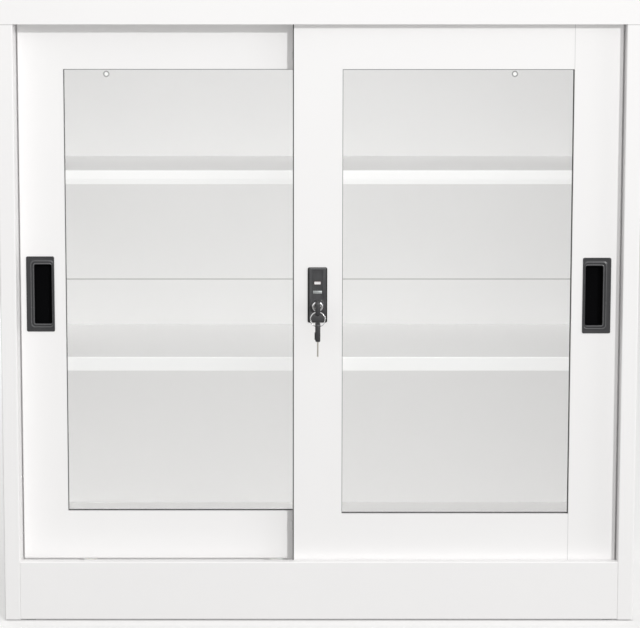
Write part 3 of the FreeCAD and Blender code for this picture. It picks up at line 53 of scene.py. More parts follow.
FLOOR_HALF = 9.0
FLOOR_ROUGHNESS = 0.75
FLOOR_SEEN = (0.940, 0.935, 0.930, 1.0)
FLOOR_BOUNCE = (0.22, 0.218, 0.215, 1.0)
SURROUND_WHITE = (0.985, 0.983, 0.98, 1.0)
SURROUND_LIGHT = 0.60
SURROUND_SEEN = 1.0
KEY_PLACE = (1.73, -3.69, 1.24)
SUN_AIM = (0.0, 0.0, 0.0)
KEY_POWER = 1.36
KEY_SOFTNESS = math.radians(1.6)
FILL_PLACE = (0.0, -2.4, 2.1)
FILL_AIM = (0.0, -0.2, 0.6)
FILL_POWER = 18.0
FILL_SIZE = 0.5
INNER_PLACE = (-0.04, -3.12, 0.86)
INNER_AIM = (0.0, 0.2, 0.45)
INNER_POWER = 29.0
INNER_SIZE = 0.30
INNER_FILL_PLACE = (0.0, -2.8, 2.8)
INNER_FILL_POWER = 0.92
REAR_PLACE = (-1.9, 2.6, 0.8)
REAR_AIM = (0.0, 0.2, 0.4)
REAR_POWER = 26.0
SIDE_PLACE = (3.3, -0.9, 0.8)
SIDE_AIM = (0.4, 0.0, 0.4)
SIDE_POWER = 23.0
SOFT_BOX_SIZE = 1.6
CAMERA_PLACE = (-0.0443, -3.1023, 0.8430)
CAMERA_DIP = 0.1115
CAMERA_LENS = 117.24
CAMERA_FILM = 36.0
CAMERA_SHIFT_X = 0.05
CAMERA_SHIFT_Y = -0.08
CAMERA_REACH = 60.0
INNER_PIECES = (
    "upper_back_panel", "lower_back_panel", "floor_panel", "upper_shelf", "lower_shelf",
    "upper_shelf_stiffener", "lower_shelf_stiffener", "front_left_upright", "rear_left_upright",
    "front_right_upright", "rear_right_upright", "shelf_clips",
)


def add(tree, kind, inputs=None, **settings):
    """A node of a tree, with its own settings and its wired or plain inputs."""
    node = tree.nodes.new(kind)
    for key, value in settings.items():
        setattr(node, key, value)
    for socket, value in (inputs or {}).items():
        if isinstance(value, bpy.types.NodeSocket):
            tree.links.new(value, node.inputs[socket])
        else:
            node.inputs[socket].default_value = value
    return node


def light_group(name, pieces, state):
    """Pieces as a collection that a lamp is linked to, or that it leaves out."""
    group = bpy.data.collections.new(name)
    for piece in pieces:
        group.objects.link(piece)
    for entry in group.collection_objects:
        entry.light_linking.link_state = state
    return group


def hang_lamp(name, kind, place, aim, power, pieces=None, **settings):
    """A lamp turned to a point of the cabinet, for all pieces or for a light group."""
    data = bpy.data.lights.new(name, kind)
    data.energy = power
    for setting, value in settings.items():
        setattr(data, setting, value)
    lamp = bpy.data.objects.new(name, data)
    lamp.location = place
    lamp.rotation_euler = (Vector(place) - Vector(aim)).to_track_quat("Z", "Y").to_euler()
    lamp.light_linking.receiver_collection = pieces
    scene.collection.objects.link(lamp)
    return lamp


floor_mesh = bpy.data.meshes.new("studio_floor")
floor_mesh.from_pydata(
    [(-FLOOR_HALF, -FLOOR_HALF, 0), (FLOOR_HALF, -FLOOR_HALF, 0),
     (FLOOR_HALF, FLOOR_HALF, 0), (-FLOOR_HALF, FLOOR_HALF, 0)],
    [], [(0, 1, 2, 3)],
)
studio_floor = bpy.data.objects.new("studio_floor", floor_mesh)
scene.collection.objects.link(studio_floor)
floor_paint = bpy.data.materials.new("studio_floor_paint")
floor_paint.use_nodes = True
tree = floor_paint.node_tree
floor_shader = tree.nodes["Principled BSDF"]
floor_shader.inputs["Roughness"].default_value = FLOOR_ROUGHNESS
floor_path = add(tree, "ShaderNodeLightPath")
floor_tone = add(
    tree, "ShaderNodeMix",
    {"Factor": floor_path.outputs["Is Camera Ray"], "A": FLOOR_BOUNCE, "B": FLOOR_SEEN},
    data_type="RGBA",
)
tree.links.new(floor_tone.outputs["Result"], floor_shader.inputs["Base Color"])
floor_mesh.materials.append(floor_paint)

surround = bpy.data.worlds.new("studio_surround")
surround.use_nodes = True
tree = surround.node_tree
backdrop = tree.nodes["Background"]
backdrop.inputs["Color"].default_value = SURROUND_WHITE
path = add(tree, "ShaderNodeLightPath")
looked_at = add(tree, "ShaderNodeMath",
                {0: path.outputs["Is Camera Ray"], 1: path.outputs["Is Glossy Ray"]},
                operation="MAXIMUM")
strength = add(tree, "ShaderNodeMapRange",
               {"Value": looked_at.outputs["Value"], "To Min": SURROUND_LIGHT,
                "To Max": SURROUND_SEEN})
tree.links.new(strength.outputs["Result"], backdrop.inputs["Strength"])
scene.world = surround
scene.view_settings.view_transform = "Standard"

inner_pieces = [nodes[name] for name in INNER_PIECES]
outside = light_group("outside_of_case", inner_pieces, "EXCLUDE")
inside = light_group("inside_of_case", inner_pieces, "INCLUDE")
key_lamp = hang_lamp("key_lamp", "SUN", KEY_PLACE, SUN_AIM, KEY_POWER, outside,
                     angle=KEY_SOFTNESS)
hang_lamp("fill_lamp", "AREA", FILL_PLACE, FILL_AIM, FILL_POWER, outside,
          size=FILL_SIZE, use_shadow=False)
hang_lamp("inner_lamp", "AREA", INNER_PLACE, INNER_AIM, INNER_POWER, inside,
          size=INNER_SIZE, use_shadow=False)
hang_lamp("inner_fill_lamp", "SUN", INNER_FILL_PLACE, SUN_AIM, INNER_FILL_POWER, inside,
          use_shadow=False)
hang_lamp("rear_lamp", "AREA", REAR_PLACE, REAR_AIM, REAR_POWER, size=SOFT_BOX_SIZE)
hang_lamp("side_lamp", "AREA", SIDE_PLACE, SIDE_AIM, SIDE_POWER, size=SOFT_BOX_SIZE)

camera_data = bpy.data.cameras.new("camera")
camera_data.sensor_width = CAMERA_FILM
camera_data.lens = CAMERA_LENS
camera_data.shift_x = CAMERA_SHIFT_X
camera_data.shift_y = CAMERA_SHIFT_Y
camera_data.clip_end = CAMERA_REACH
camera = bpy.data.objects.new("camera", camera_data)
camera.location = CAMERA_PLACE
camera.rotation_euler = (math.radians(90) - CAMERA_DIP, 0, 0)
scene.collection.objects.link(camera)
scene.camera = camera


# Folded steel case ----------------------------------------------------------------------------
# The cap, sides, back, floor, plinth, tracks and base rail are cold-rolled sheet, folded and
# spot-welded, then powder coated white: an even satin coat with a fine orange peel and slow,
# faint changes of tone and gloss.

STEEL_WHITE = (0.858, 0.850, 0.846, 1.0)
STEEL_SHADE = (0.840, 0.832, 0.829, 1.0)
# Painted shade: the back sheets' white is darker than the case's, standing in for the dimmer
# light inside the case.
BACK_WHITE_PAINTED_SHADE = (0.790, 0.786, 0.782, 1.0)
BACK_MOTTLE_PAINTED_SHADE = (0.772, 0.768, 0.765, 1.0)
SEAM_TONE = (0.55, 0.548, 0.54, 1.0)
SPLIT_TONE = (0.42, 0.42, 0.41, 1.0)
RIM_TONE = (0.34, 0.34, 0.335, 1.0)
COAT_SHEEN = 0.38
PEEL_BUMP = 0.0004
JOINT_HALF = 0.0008
SEAM_DROP = 0.0003
RIM_RADIUS = 0.005
WALL_HOLES_X = (-0.332, 0.315)
WALL_HOLES_Z = 0.773
SURFACE = {"Color": "Color", "Roughness": "Float", "Normal": "Vector"}
SURFACE_WIRES = {"Color": "Base Color", "Roughness": "Roughness", "Normal": "Normal"}


def new_effect(name, inputs, outputs):
    """A shared shader effect: its tree, its inputs and the object's own coordinates."""
    tree = bpy.data.node_groups.new(name, "ShaderNodeTree")
    for label, value in inputs.items():
        kind = "Float" if isinstance(value, float) else "Color" if len(value) == 4 else "Vector"
        socket = tree.interface.new_socket(label, in_out="INPUT", socket_type=f"NodeSocket{kind}")
        socket.default_value = value
    for label, kind in outputs.items():
        tree.interface.new_socket(label, in_out="OUTPUT", socket_type=f"NodeSocket{kind}")
    given = tree.nodes.new("NodeGroupInput").outputs
    return tree, given, tree.nodes.new("ShaderNodeTexCoord").outputs["Object"]


def new_finish(name, settings, effect=None, values=None):
    """A material: its Principled shader's own values, and a shared effect wired to the shader."""
    material = bpy.data.materials.new(name)
    material.use_nodes = True
    tree = material.node_tree
    shader = tree.nodes["Principled BSDF"]
    for socket, value in settings.items():
        shader.inputs[socket].default_value = value
    if effect:
        laid = add(tree, "ShaderNodeGroup", values, node_tree=effect)
        for output, socket in SURFACE_WIRES.items():
            tree.links.new(laid.outputs[output], shader.inputs[socket])
    return material


def shade_where(material, effect, values, tone):
    """Darkens a coat to a tone where a shared mask is one: a joint, a hole's rim, or painted
    shade.
    """
    tree = material.node_tree
    base = tree.nodes["Principled BSDF"].inputs["Base Color"]
    mask = add(tree, "ShaderNodeGroup", values, node_tree=effect)
    shaded = add(tree, "ShaderNodeMix",
                 {"Factor": mask.outputs["Mask"], "A": base.links[0].from_socket, "B": tone},
                 data_type="RGBA")
    tree.links.new(shaded.outputs["Result"], base)


def dress(names, material):
    """Gives CAD pieces their finish."""
    for name in names:
        for place in nodes[name].material_slots:
            place.material = material


orange_peel, given, where = new_effect(
    "orange_peel",
    {"Coat": STEEL_WHITE, "Thin Coat": STEEL_SHADE, "Gloss": 0.42, "Gloss Spread": 0.05,
     "Peel Scale": 520.0, "Peel Depth": 0.035, "Mottle Scale": 7.0},
    SURFACE,
)
mottle = add(orange_peel, "ShaderNodeTexNoise",
             {"Vector": where, "Scale": given["Mottle Scale"], "Detail": 3.0})
tint = add(orange_peel, "ShaderNodeMix",
           {"Factor": mottle.outputs["Fac"], "A": given["Coat"], "B": given["Thin Coat"]},
           data_type="RGBA")
middle = add(orange_peel, "ShaderNodeMath", {0: mottle.outputs["Fac"], 1: 0.5},
             operation="SUBTRACT")
spread = add(orange_peel, "ShaderNodeMath",
             {0: middle.outputs["Value"], 1: given["Gloss Spread"], 2: given["Gloss"]},
             operation="MULTIPLY_ADD")
peel = add(orange_peel, "ShaderNodeTexNoise",
           {"Vector": where, "Scale": given["Peel Scale"], "Detail": 1.0})
dimple = add(orange_peel, "ShaderNodeBump",
             {"Height": peel.outputs["Fac"], "Strength": given["Peel Depth"],
              "Distance": PEEL_BUMP})
add(orange_peel, "NodeGroupOutput",
    {"Color": tint.outputs["Result"], "Roughness": spread.outputs["Value"],
     "Normal": dimple.outputs["Normal"]})

sheet_joint, given, where = new_effect(
    "sheet_joint", {"Across": (0.0, 0.0, 1.0), "At": 0.0, "Half Width": JOINT_HALF},
    {"Mask": "Float"},
)
along = add(sheet_joint, "ShaderNodeVectorMath", {0: where, 1: given["Across"]},
            operation="DOT_PRODUCT")
near = add(sheet_joint, "ShaderNodeMath",
           {0: along.outputs["Value"], 1: given["At"], 2: given["Half Width"]},
           operation="COMPARE")
add(sheet_joint, "NodeGroupOutput", {"Mask": near.outputs["Value"]})

hole_rim, given, where = new_effect(
    "hole_rim", {"Centre": (0.0, 0.0, 0.0), "Outer Radius": RIM_RADIUS}, {"Mask": "Float"},
)
flatten = add(hole_rim, "ShaderNodeVectorMath", {0: where, 1: (1.0, 0.0, 1.0)},
              operation="MULTIPLY")
off_centre = add(hole_rim, "ShaderNodeVectorMath",
                 {0: flatten.outputs["Vector"], 1: given["Centre"]}, operation="DISTANCE")
within = add(hole_rim, "ShaderNodeMath",
             {0: off_centre.outputs["Value"], 1: given["Outer Radius"]}, operation="LESS_THAN")
add(hole_rim, "NodeGroupOutput", {"Mask": within.outputs["Value"]})

powder_coat = new_finish("powder_coat_white", {"Specular IOR Level": COAT_SHEEN}, orange_peel)
dress(
    ("top_panel", "top_stiffener", "upper_track", "floor_panel", "plinth", "lower_track",
     "rear_base_rail", "upper_shelf_stiffener", "lower_shelf_stiffener"),
    powder_coat,
)

side_coat = new_finish("powder_coat_sides", {"Specular IOR Level": COAT_SHEEN}, orange_peel)
cap_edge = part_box("top_panel")[0].z
shade_where(side_coat, sheet_joint, {"At": cap_edge - SEAM_DROP}, SEAM_TONE)
dress(("left_side_panel", "right_side_panel"), side_coat)

# The back sheets take a darker copy of the white coat, as painted shade inside the case.
back_coat_painted_shade = new_finish("powder_coat_back", {"Specular IOR Level": COAT_SHEEN}, orange_peel,
                       {"Coat": BACK_WHITE_PAINTED_SHADE, "Thin Coat": BACK_MOTTLE_PAINTED_SHADE})
back_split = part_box("lower_back_panel")[1].z
shade_where(back_coat_painted_shade, sheet_joint, {"At": back_split}, SPLIT_TONE)
for hole_x in WALL_HOLES_X:
    shade_where(back_coat_painted_shade, hole_rim, {"Centre": (hole_x, 0.0, WALL_HOLES_Z)}, RIM_TONE)
dress(("upper_back_panel", "lower_back_panel"), back_coat_painted_shade)


# Shelves --------------------------------------------------------------------------------------
# Two sheet-steel trays, folded down at the front into a deep lip, that hang in the slots. Their
# white is painted a little brighter than the case's, as painted light on the shelves and their
# lips.

# Painted light: the shelves' white is brighter than the case's to stand in for the light on them.
SHELF_WHITE_PAINTED_LIGHT = (0.955, 0.950, 0.946, 1.0)
SHELF_MOTTLE_PAINTED_LIGHT = (0.940, 0.936, 0.933, 1.0)

shelf_coat_painted_light = new_finish("powder_coat_shelf", {"Specular IOR Level": COAT_SHEEN}, orange_peel,
                        {"Coat": SHELF_WHITE_PAINTED_LIGHT, "Thin Coat": SHELF_MOTTLE_PAINTED_LIGHT, "Gloss": 0.45})
dress(("upper_shelf", "lower_shelf"), shelf_coat_painted_light)


# Slotted uprights and shelf clips -------------------------------------------------------------
# The four uprights are pressed channels, coated with the case. The clips that hook into their
# slots are stamped from zinc-plated steel, with a faintly brushed, cloudy plating.

ZINC = (0.56, 0.57, 0.58, 1.0)
ZINC_CLOUD = (0.44, 0.45, 0.47, 1.0)
BRUSH_STRETCH = (1.0, 1.0, 0.08)
BRUSH_BUMP = 0.0001

dress(("front_left_upright", "front_right_upright", "rear_left_upright", "rear_right_upright"),
      powder_coat)

plating, given, where = new_effect(
    "cloudy_plating",
    {"Metal": ZINC, "Cloud": ZINC_CLOUD, "Cloud Scale": 160.0, "Gloss": 0.34,
     "Gloss Spread": 0.16, "Brush Scale": 900.0, "Brush Depth": 0.05},
    SURFACE,
)
cloud = add(plating, "ShaderNodeTexNoise",
            {"Vector": where, "Scale": given["Cloud Scale"], "Detail": 4.0})
cloud_tint = add(plating, "ShaderNodeMix",
                 {"Factor": cloud.outputs["Fac"], "A": given["Metal"], "B": given["Cloud"]},
                 data_type="RGBA")
stretched = add(plating, "ShaderNodeMapping", {"Vector": where, "Scale": BRUSH_STRETCH})
brush = add(plating, "ShaderNodeTexNoise",
            {"Vector": stretched.outputs["Vector"], "Scale": given["Brush Scale"],
             "Detail": 2.0})
gloss = add(plating, "ShaderNodeMath",
            {0: brush.outputs["Fac"], 1: given["Gloss Spread"], 2: given["Gloss"]},
            operation="MULTIPLY_ADD")
scratch = add(plating, "ShaderNodeBump",
              {"Height": brush.outputs["Fac"], "Strength": given["Brush Depth"],
               "Distance": BRUSH_BUMP})
add(plating, "NodeGroupOutput",
    {"Color": cloud_tint.outputs["Result"], "Roughness": gloss.outputs["Value"],
     "Normal": scratch.outputs["Normal"]})

zinc = new_finish("zinc_plate", {"Metallic": 1.0}, plating)
dress(("shelf_clips",), zinc)


# Levelling glides -----------------------------------------------------------------------------
# Grey moulded discs on zinc-plated bolts, screwed up through the base flange at each corner.

GLIDE_GREY = (0.20, 0.205, 0.21, 1.0)
GLIDE_SCUFF = (0.27, 0.27, 0.275, 1.0)

moulded_grey = new_finish(
    "moulded_grey", {"Specular IOR Level": 0.4}, orange_peel,
    {"Coat": GLIDE_GREY, "Thin Coat": GLIDE_SCUFF, "Gloss": 0.5, "Gloss Spread": 0.12,
     "Peel Scale": 1600.0, "Peel Depth": 0.15, "Mottle Scale": 90.0},
)
dress(("levelling_glides",), moulded_grey)
dress(("levelling_bolts",), zinc)


# Back panel screws ----------------------------------------------------------------------------
# Eleven zinc-plated pan-head screws with a cross recess, driven through the back sheets into
# the side flanges and the cap. Each is a domed head on a short threadless shank.

SCREW_HEAD = 0.004
SCREW_CROWN_SHARE = 0.72
SCREW_DOME = 0.0012
SCREW_SHANK = 0.00175
SCREW_RUN = 0.0060
RECESS_REACH = 0.0022
RECESS_WIDTH = 0.0008
RECESS_DEPTH = 0.0007
HEAD_SIDES = 28
SHANK_SIDES = 16
SIDE_SCREW_X = 0.440
SIDE_SCREW_Z = (0.089, 0.319, 0.549, 0.779)
TOP_SCREW_X = (-0.230, 0.0, 0.230)
TOP_SCREW_Z = 0.8675
FACING_BACK = -1.5708
HALF_TURN = 3.1416
DRIVING_SEED = 7

screw_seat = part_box("back_panel_screws")[1].y - SCREW_DOME
screw_places = [(side * SIDE_SCREW_X, screw_seat, z) for side in (-1, 1) for z in SIDE_SCREW_Z]
screw_places += [(x, screw_seat, TOP_SCREW_Z) for x in TOP_SCREW_X]

screw_tree = bpy.data.node_groups.new("pan_head_screws", "GeometryNodeTree")
screw_tree.interface.new_socket("Geometry", in_out="INPUT", socket_type="NodeSocketGeometry")
screw_values = {}
for name, kind, value in (
    ("Head Radius", "NodeSocketFloat", SCREW_HEAD),
    ("Head Rise", "NodeSocketFloat", SCREW_DOME),
    ("Shank Radius", "NodeSocketFloat", SCREW_SHANK),
    ("Shank Length", "NodeSocketFloat", SCREW_RUN),
    ("Recess Reach", "NodeSocketFloat", RECESS_REACH),
    ("Recess Width", "NodeSocketFloat", RECESS_WIDTH),
    ("Recess Depth", "NodeSocketFloat", RECESS_DEPTH),
    ("Seed", "NodeSocketInt", DRIVING_SEED),
    ("Finish", "NodeSocketMaterial", zinc),
):
    socket = screw_tree.interface.new_socket(name, in_out="INPUT", socket_type=kind)
    screw_values[socket.identifier] = value
screw_tree.interface.new_socket("Geometry", in_out="OUTPUT", socket_type="NodeSocketGeometry")

given = screw_tree.nodes.new("NodeGroupInput").outputs
crown_radius = add(screw_tree, "ShaderNodeMath", {0: given["Head Radius"], 1: SCREW_CROWN_SHARE},
                   operation="MULTIPLY").outputs[0]
rim = add(screw_tree, "GeometryNodeMeshCone",
          {"Vertices": HEAD_SIDES, "Radius Top": crown_radius,
           "Radius Bottom": given["Head Radius"], "Depth": given["Head Rise"]},
          fill_type="NGON")
head_top = add(screw_tree, "ShaderNodeCombineXYZ", {2: given["Head Rise"]})
recess = add(screw_tree, "GeometryNodeMeshBoolean", {"Mesh 1": rim.outputs["Mesh"]},
             operation="DIFFERENCE")
for long_way, short_way, doubled in ((0, 1, (2.0, 1.0, 2.0)), (1, 0, (1.0, 2.0, 2.0))):
    arm_size = add(screw_tree, "ShaderNodeCombineXYZ",
                   {long_way: given["Recess Reach"], short_way: given["Recess Width"],
                    2: given["Recess Depth"]})
    arm_double = add(screw_tree, "ShaderNodeVectorMath", {0: arm_size.outputs[0], 1: doubled},
                     operation="MULTIPLY")
    arm = add(screw_tree, "GeometryNodeMeshCube", {"Size": arm_double.outputs[0]})
    arm_up = add(screw_tree, "GeometryNodeTransform",
                 {"Geometry": arm.outputs[0], "Translation": head_top.outputs[0]})
    screw_tree.links.new(arm_up.outputs[0], recess.inputs["Mesh 2"])
shank = add(screw_tree, "GeometryNodeMeshCylinder",
            {"Vertices": SHANK_SIDES, "Radius": given["Shank Radius"],
             "Depth": given["Shank Length"]}, fill_type="NGON")
shank_drop = add(screw_tree, "ShaderNodeMath", {0: given["Shank Length"], 1: -0.5},
                 operation="MULTIPLY").outputs[0]
shank_at = add(screw_tree, "ShaderNodeCombineXYZ", {2: shank_drop})
shank_down = add(screw_tree, "GeometryNodeTransform",
                 {"Geometry": shank.outputs[0], "Translation": shank_at.outputs[0]})
one_screw = screw_tree.nodes.new("GeometryNodeJoinGeometry")
screw_tree.links.new(recess.outputs["Mesh"], one_screw.inputs[0])
screw_tree.links.new(shank_down.outputs[0], one_screw.inputs[0])
driven = add(screw_tree, "FunctionNodeRandomValue",
             {"Min": (FACING_BACK, 0.0, 0.0), "Max": (FACING_BACK, HALF_TURN, 0.0),
              "Seed": given["Seed"]}, data_type="FLOAT_VECTOR")
placed = add(screw_tree, "GeometryNodeInstanceOnPoints",
             {"Points": given["Geometry"], "Instance": one_screw.outputs[0],
              "Rotation": driven.outputs[0]})
realized = add(screw_tree, "GeometryNodeRealizeInstances", {"Geometry": placed.outputs[0]})
finished = add(screw_tree, "GeometryNodeSetMaterial",
               {"Geometry": realized.outputs[0], "Material": given["Finish"]})
add(screw_tree, "NodeGroupOutput", {0: finished.outputs[0]})

screw_mesh = bpy.data.meshes.new("back_screws")
screw_mesh.from_pydata(screw_places, [], [])
back_screws = bpy.data.objects.new("back_screws", screw_mesh)
scene.collection.objects.link(back_screws)


def plain_mesh(piece):
    """Keeps what a piece's modifiers make of it as its own mesh."""
    made = bpy.data.meshes.new_from_object(
        piece.evaluated_get(bpy.context.evaluated_depsgraph_get()))
    piece.modifiers.clear()
    piece.data = made


modifier = back_screws.modifiers.new(screw_tree.name, "NODES")
modifier.node_group = screw_tree
for identifier, value in screw_values.items():
    modifier[identifier] = value
plain_mesh(back_screws)
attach(back_screws, "cabinet")
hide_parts("back_panel_screws")


# Sliding doors --------------------------------------------------------------------------------
# Each door is a tray of folded sheet with a separate end stile and a back frame, coated white.
# A 4 mm float glass pane sits behind the window in a thin grey rubber channel.

ALONG_DOOR = (1.0, 0.0, 0.0)
STILE_SEAM_HALF = 0.0004
STILE_SEAM_TONE = (0.60, 0.597, 0.59, 1.0)
# Painted shade: a near-black strip along each door's leading fold stands in for the shade on its
# rounded edge.
LEADING_FOLD_SHADE_HALF = 0.0015
LEADING_FOLD_PAINTED_SHADE = (0.045, 0.045, 0.044, 1.0)
RUBBER_GREY = (0.050, 0.050, 0.052, 1.0)
RUBBER_BLOOM = (0.075, 0.075, 0.078, 1.0)
BUFFER_WHITE = (0.74, 0.74, 0.73, 1.0)
BUFFER_SHADE = (0.66, 0.66, 0.65, 1.0)
GLASS_TINT = (0.990, 0.994, 0.991, 1.0)
GLASS_PASSES = (0.966, 0.970, 0.967, 1.0)

for door, joined_at, fold_shade_at in (
    ("left_door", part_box("left_door_end_stile")[1].x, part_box("left_door_front_skin")[1].x),
    ("right_door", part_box("right_door_end_stile")[0].x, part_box("right_door_front_skin")[0].x),
):
    door_coat_and_fold_shade = new_finish(f"powder_coat_{door}", {"Specular IOR Level": COAT_SHEEN}, orange_peel)
    shade_where(door_coat_and_fold_shade, sheet_joint,
                {"Across": ALONG_DOOR, "At": joined_at, "Half Width": STILE_SEAM_HALF},
                STILE_SEAM_TONE)
    # Painted shade along the leading fold, where its rounded edge turns away from the light.
    shade_where(door_coat_and_fold_shade, sheet_joint,
                {"Across": ALONG_DOOR, "At": fold_shade_at, "Half Width": LEADING_FOLD_SHADE_HALF},
                LEADING_FOLD_PAINTED_SHADE)
    dress((f"{door}_front_skin", f"{door}_end_stile"), door_coat_and_fold_shade)
    dress((f"{door}_back_frame",), powder_coat)

clear_glass = new_finish(
    "float_glass",
    {"Base Color": GLASS_TINT, "Transmission Weight": 1.0, "IOR": 1.45,
     "Specular IOR Level": 0.35},
)
tree = clear_glass.node_tree
shader = tree.nodes["Principled BSDF"]
where = add(tree, "ShaderNodeTexCoord")
smear = add(tree, "ShaderNodeTexNoise",
            {"Vector": where.outputs["Object"], "Scale": 3.5, "Detail": 5.0})
haze = add(tree, "ShaderNodeMapRange",
           {"Value": smear.outputs["Fac"], "From Min": 0.35, "From Max": 0.75,
            "To Min": 0.0, "To Max": 0.015})
tree.links.new(haze.outputs["Result"], shader.inputs["Roughness"])
lets_light = add(tree, "ShaderNodeBsdfTransparent", {"Color": GLASS_PASSES})
light_path = add(tree, "ShaderNodeLightPath")
for_light = add(tree, "ShaderNodeMath",
                {0: light_path.outputs["Is Shadow Ray"], 1: light_path.outputs["Is Diffuse Ray"]},
                operation="MAXIMUM")
glass_mix = add(tree, "ShaderNodeMixShader",
                {"Fac": for_light.outputs["Value"], 1: shader.outputs["BSDF"],
                 2: lets_light.outputs["BSDF"]})
tree.links.new(glass_mix.outputs["Shader"], tree.nodes["Material Output"].inputs["Surface"])

grey_rubber = new_finish(
    "glazing_rubber", {"Specular IOR Level": 0.3}, orange_peel,
    {"Coat": RUBBER_GREY, "Thin Coat": RUBBER_BLOOM, "Gloss": 0.68, "Gloss Spread": 0.1,
     "Peel Scale": 2400.0, "Peel Depth": 0.2, "Mottle Scale": 60.0},
)
buffer_rubber = new_finish(
    "buffer_rubber", {"Specular IOR Level": 0.35}, orange_peel,
    {"Coat": BUFFER_WHITE, "Thin Coat": BUFFER_SHADE, "Gloss": 0.6, "Gloss Spread": 0.1,
     "Peel Scale": 2000.0, "Peel Depth": 0.15, "Mottle Scale": 80.0},
)
for door in ("left_door", "right_door"):
    dress((f"{door}_glass",), clear_glass)
    dress((f"{door}_gasket",), grey_rubber)
    dress((f"{door}_buffers",), buffer_rubber)


# Running gear ---------------------------------------------------------------------------------
# Two grooved nylon rollers under each door turn on plated axles in nylon housings, and two
# nylon guides stand up into the head track. Nylon is milky, with a soft waxy shine.

NYLON = (0.76, 0.755, 0.73, 1.0)
NYLON_DEEP = (0.70, 0.69, 0.66, 1.0)

nylon = new_finish(
    "natural_nylon",
    {"Specular IOR Level": 0.45, "Subsurface Weight": 0.15, "Subsurface Scale": 0.002},
    orange_peel,
    {"Coat": NYLON, "Thin Coat": NYLON_DEEP, "Gloss": 0.38, "Gloss Spread": 0.1,
     "Peel Scale": 1500.0, "Peel Depth": 0.08, "Mottle Scale": 120.0},
)
for door in ("left_door", "right_door"):
    dress((f"{door}_roller_housings", f"{door}_top_guides", f"{door}_left_roller",
           f"{door}_right_roller"), nylon)
    dress((f"{door}_axles",), zinc)


# Flush pulls ----------------------------------------------------------------------------------
# Each is one moulding in satin black plastic, pressed through the stile: a plate with two raised
# ridges that run round a deep finger pocket, wide on the door's outer side and narrow inside. The
# ridges carry a painted highlight in a lighter grey, and the pocket painted shade in a deeper
# black.

PLATE, RIDGE, POCKET = 0, 1, 2
# Inset from the plate's outer, inner, and top and bottom sides, corner radius, depth, and the
# finish of the band up to this row.
PULL_PROFILE = (
    (0.0000, 0.0000, 0.0000, 0.0022, 0.00150, PLATE),
    (0.0000, 0.0000, 0.0000, 0.0022, 0.00060, PLATE),
    (0.0005, 0.0005, 0.0005, 0.0022, 0.00020, PLATE),
    (0.0013, 0.0009, 0.0013, 0.0022, 0.00022, PLATE),
    (0.0046, 0.0013, 0.0046, 0.0040, 0.00050, PLATE),
    (0.0057, 0.0016, 0.0055, 0.0050, 0.00038, PLATE),
    (0.0062, 0.0018, 0.0061, 0.0050, 0.00006, PLATE),
    (0.0069, 0.0020, 0.0068, 0.0048, 0.00000, RIDGE),
    (0.0075, 0.0022, 0.0074, 0.0046, 0.00022, RIDGE),
    (0.0080, 0.0024, 0.0080, 0.0044, 0.00105, PLATE),
    (0.0090, 0.0027, 0.0088, 0.0040, 0.00105, PLATE),
    (0.0096, 0.0029, 0.0095, 0.0038, 0.00030, PLATE),
    (0.0102, 0.0031, 0.0100, 0.0036, 0.00004, RIDGE),
    (0.0109, 0.0034, 0.0108, 0.0030, 0.00006, RIDGE),
    (0.0115, 0.0037, 0.0115, 0.0022, 0.00050, PLATE),
    (0.0120, 0.0040, 0.0120, 0.0014, 0.00160, POCKET),
    (0.0123, 0.0043, 0.0123, 0.0014, 0.00980, POCKET),
    (0.0129, 0.0049, 0.0129, 0.0018, 0.01150, POCKET),
    (0.0146, 0.0066, 0.0146, 0.0022, 0.01200, POCKET),
)
PULL_MOUTH = PULL_PROFILE[-4]
PULL_WALL = 0.0016
PULL_BACK_CORNER = 0.0012
FRONT_STEPS = 6
SMOOTH_ANGLE = 32
PULL_BLACK = (0.028, 0.028, 0.030, 1.0)
PULL_WORN = (0.044, 0.044, 0.046, 1.0)
# Painted highlight: the ridges' lighter grey stands in for the light they catch.
RIDGE_PAINTED_HIGHLIGHT_GREY = (0.115, 0.115, 0.118, 1.0)
RIDGE_PAINTED_HIGHLIGHT_DULL = (0.080, 0.080, 0.083, 1.0)
# Painted shade: the pocket's near-black stands in for the deep shade inside it.
POCKET_PAINTED_SHADE_BLACK = (0.0022, 0.0022, 0.0026, 1.0)


def corner_points(low, high, radius, steps):
    """Points of a rounded rectangle between two corners of a plane, in order."""
    points = []
    for across, up, start in ((high[0] - radius, high[1] - radius, 0),
                              (low[0] + radius, high[1] - radius, 90),
                              (low[0] + radius, low[1] + radius, 180),
                              (high[0] - radius, low[1] + radius, 270)):
        for step in range(steps + 1):
            turn = math.radians(start + 90 * step / steps)
            points.append((across + radius * math.cos(turn), up + radius * math.sin(turn)))
    return points


def rounded_ring(mesh, x0, x1, z0, z1, radius, y):
    """Corners of an upright rounded rectangle at one depth."""
    return [mesh.verts.new((x, y, z))
            for x, z in corner_points((x0, z0), (x1, z1), radius, FRONT_STEPS)]


def skin_rings(mesh, rings, closed_loop=False):
    """Faces between the rings in order, and flat caps on the first and last of an open row."""
    for near, far in zip(rings, rings[1:]):
        count = len(near)
        for spot in range(count):
            after = (spot + 1) % count
            mesh.faces.new((near[spot], near[after], far[after], far[spot]))
    if not closed_loop:
        mesh.faces.new(rings[0])
        mesh.faces.new(rings[-1])


def smooth(mesh, angle):
    """Smooth shading, with the edges beyond an angle kept sharp."""
    mesh.polygons.foreach_set("use_smooth", [True] * len(mesh.polygons))
    mesh.set_sharp_from_angle(angle=math.radians(angle))


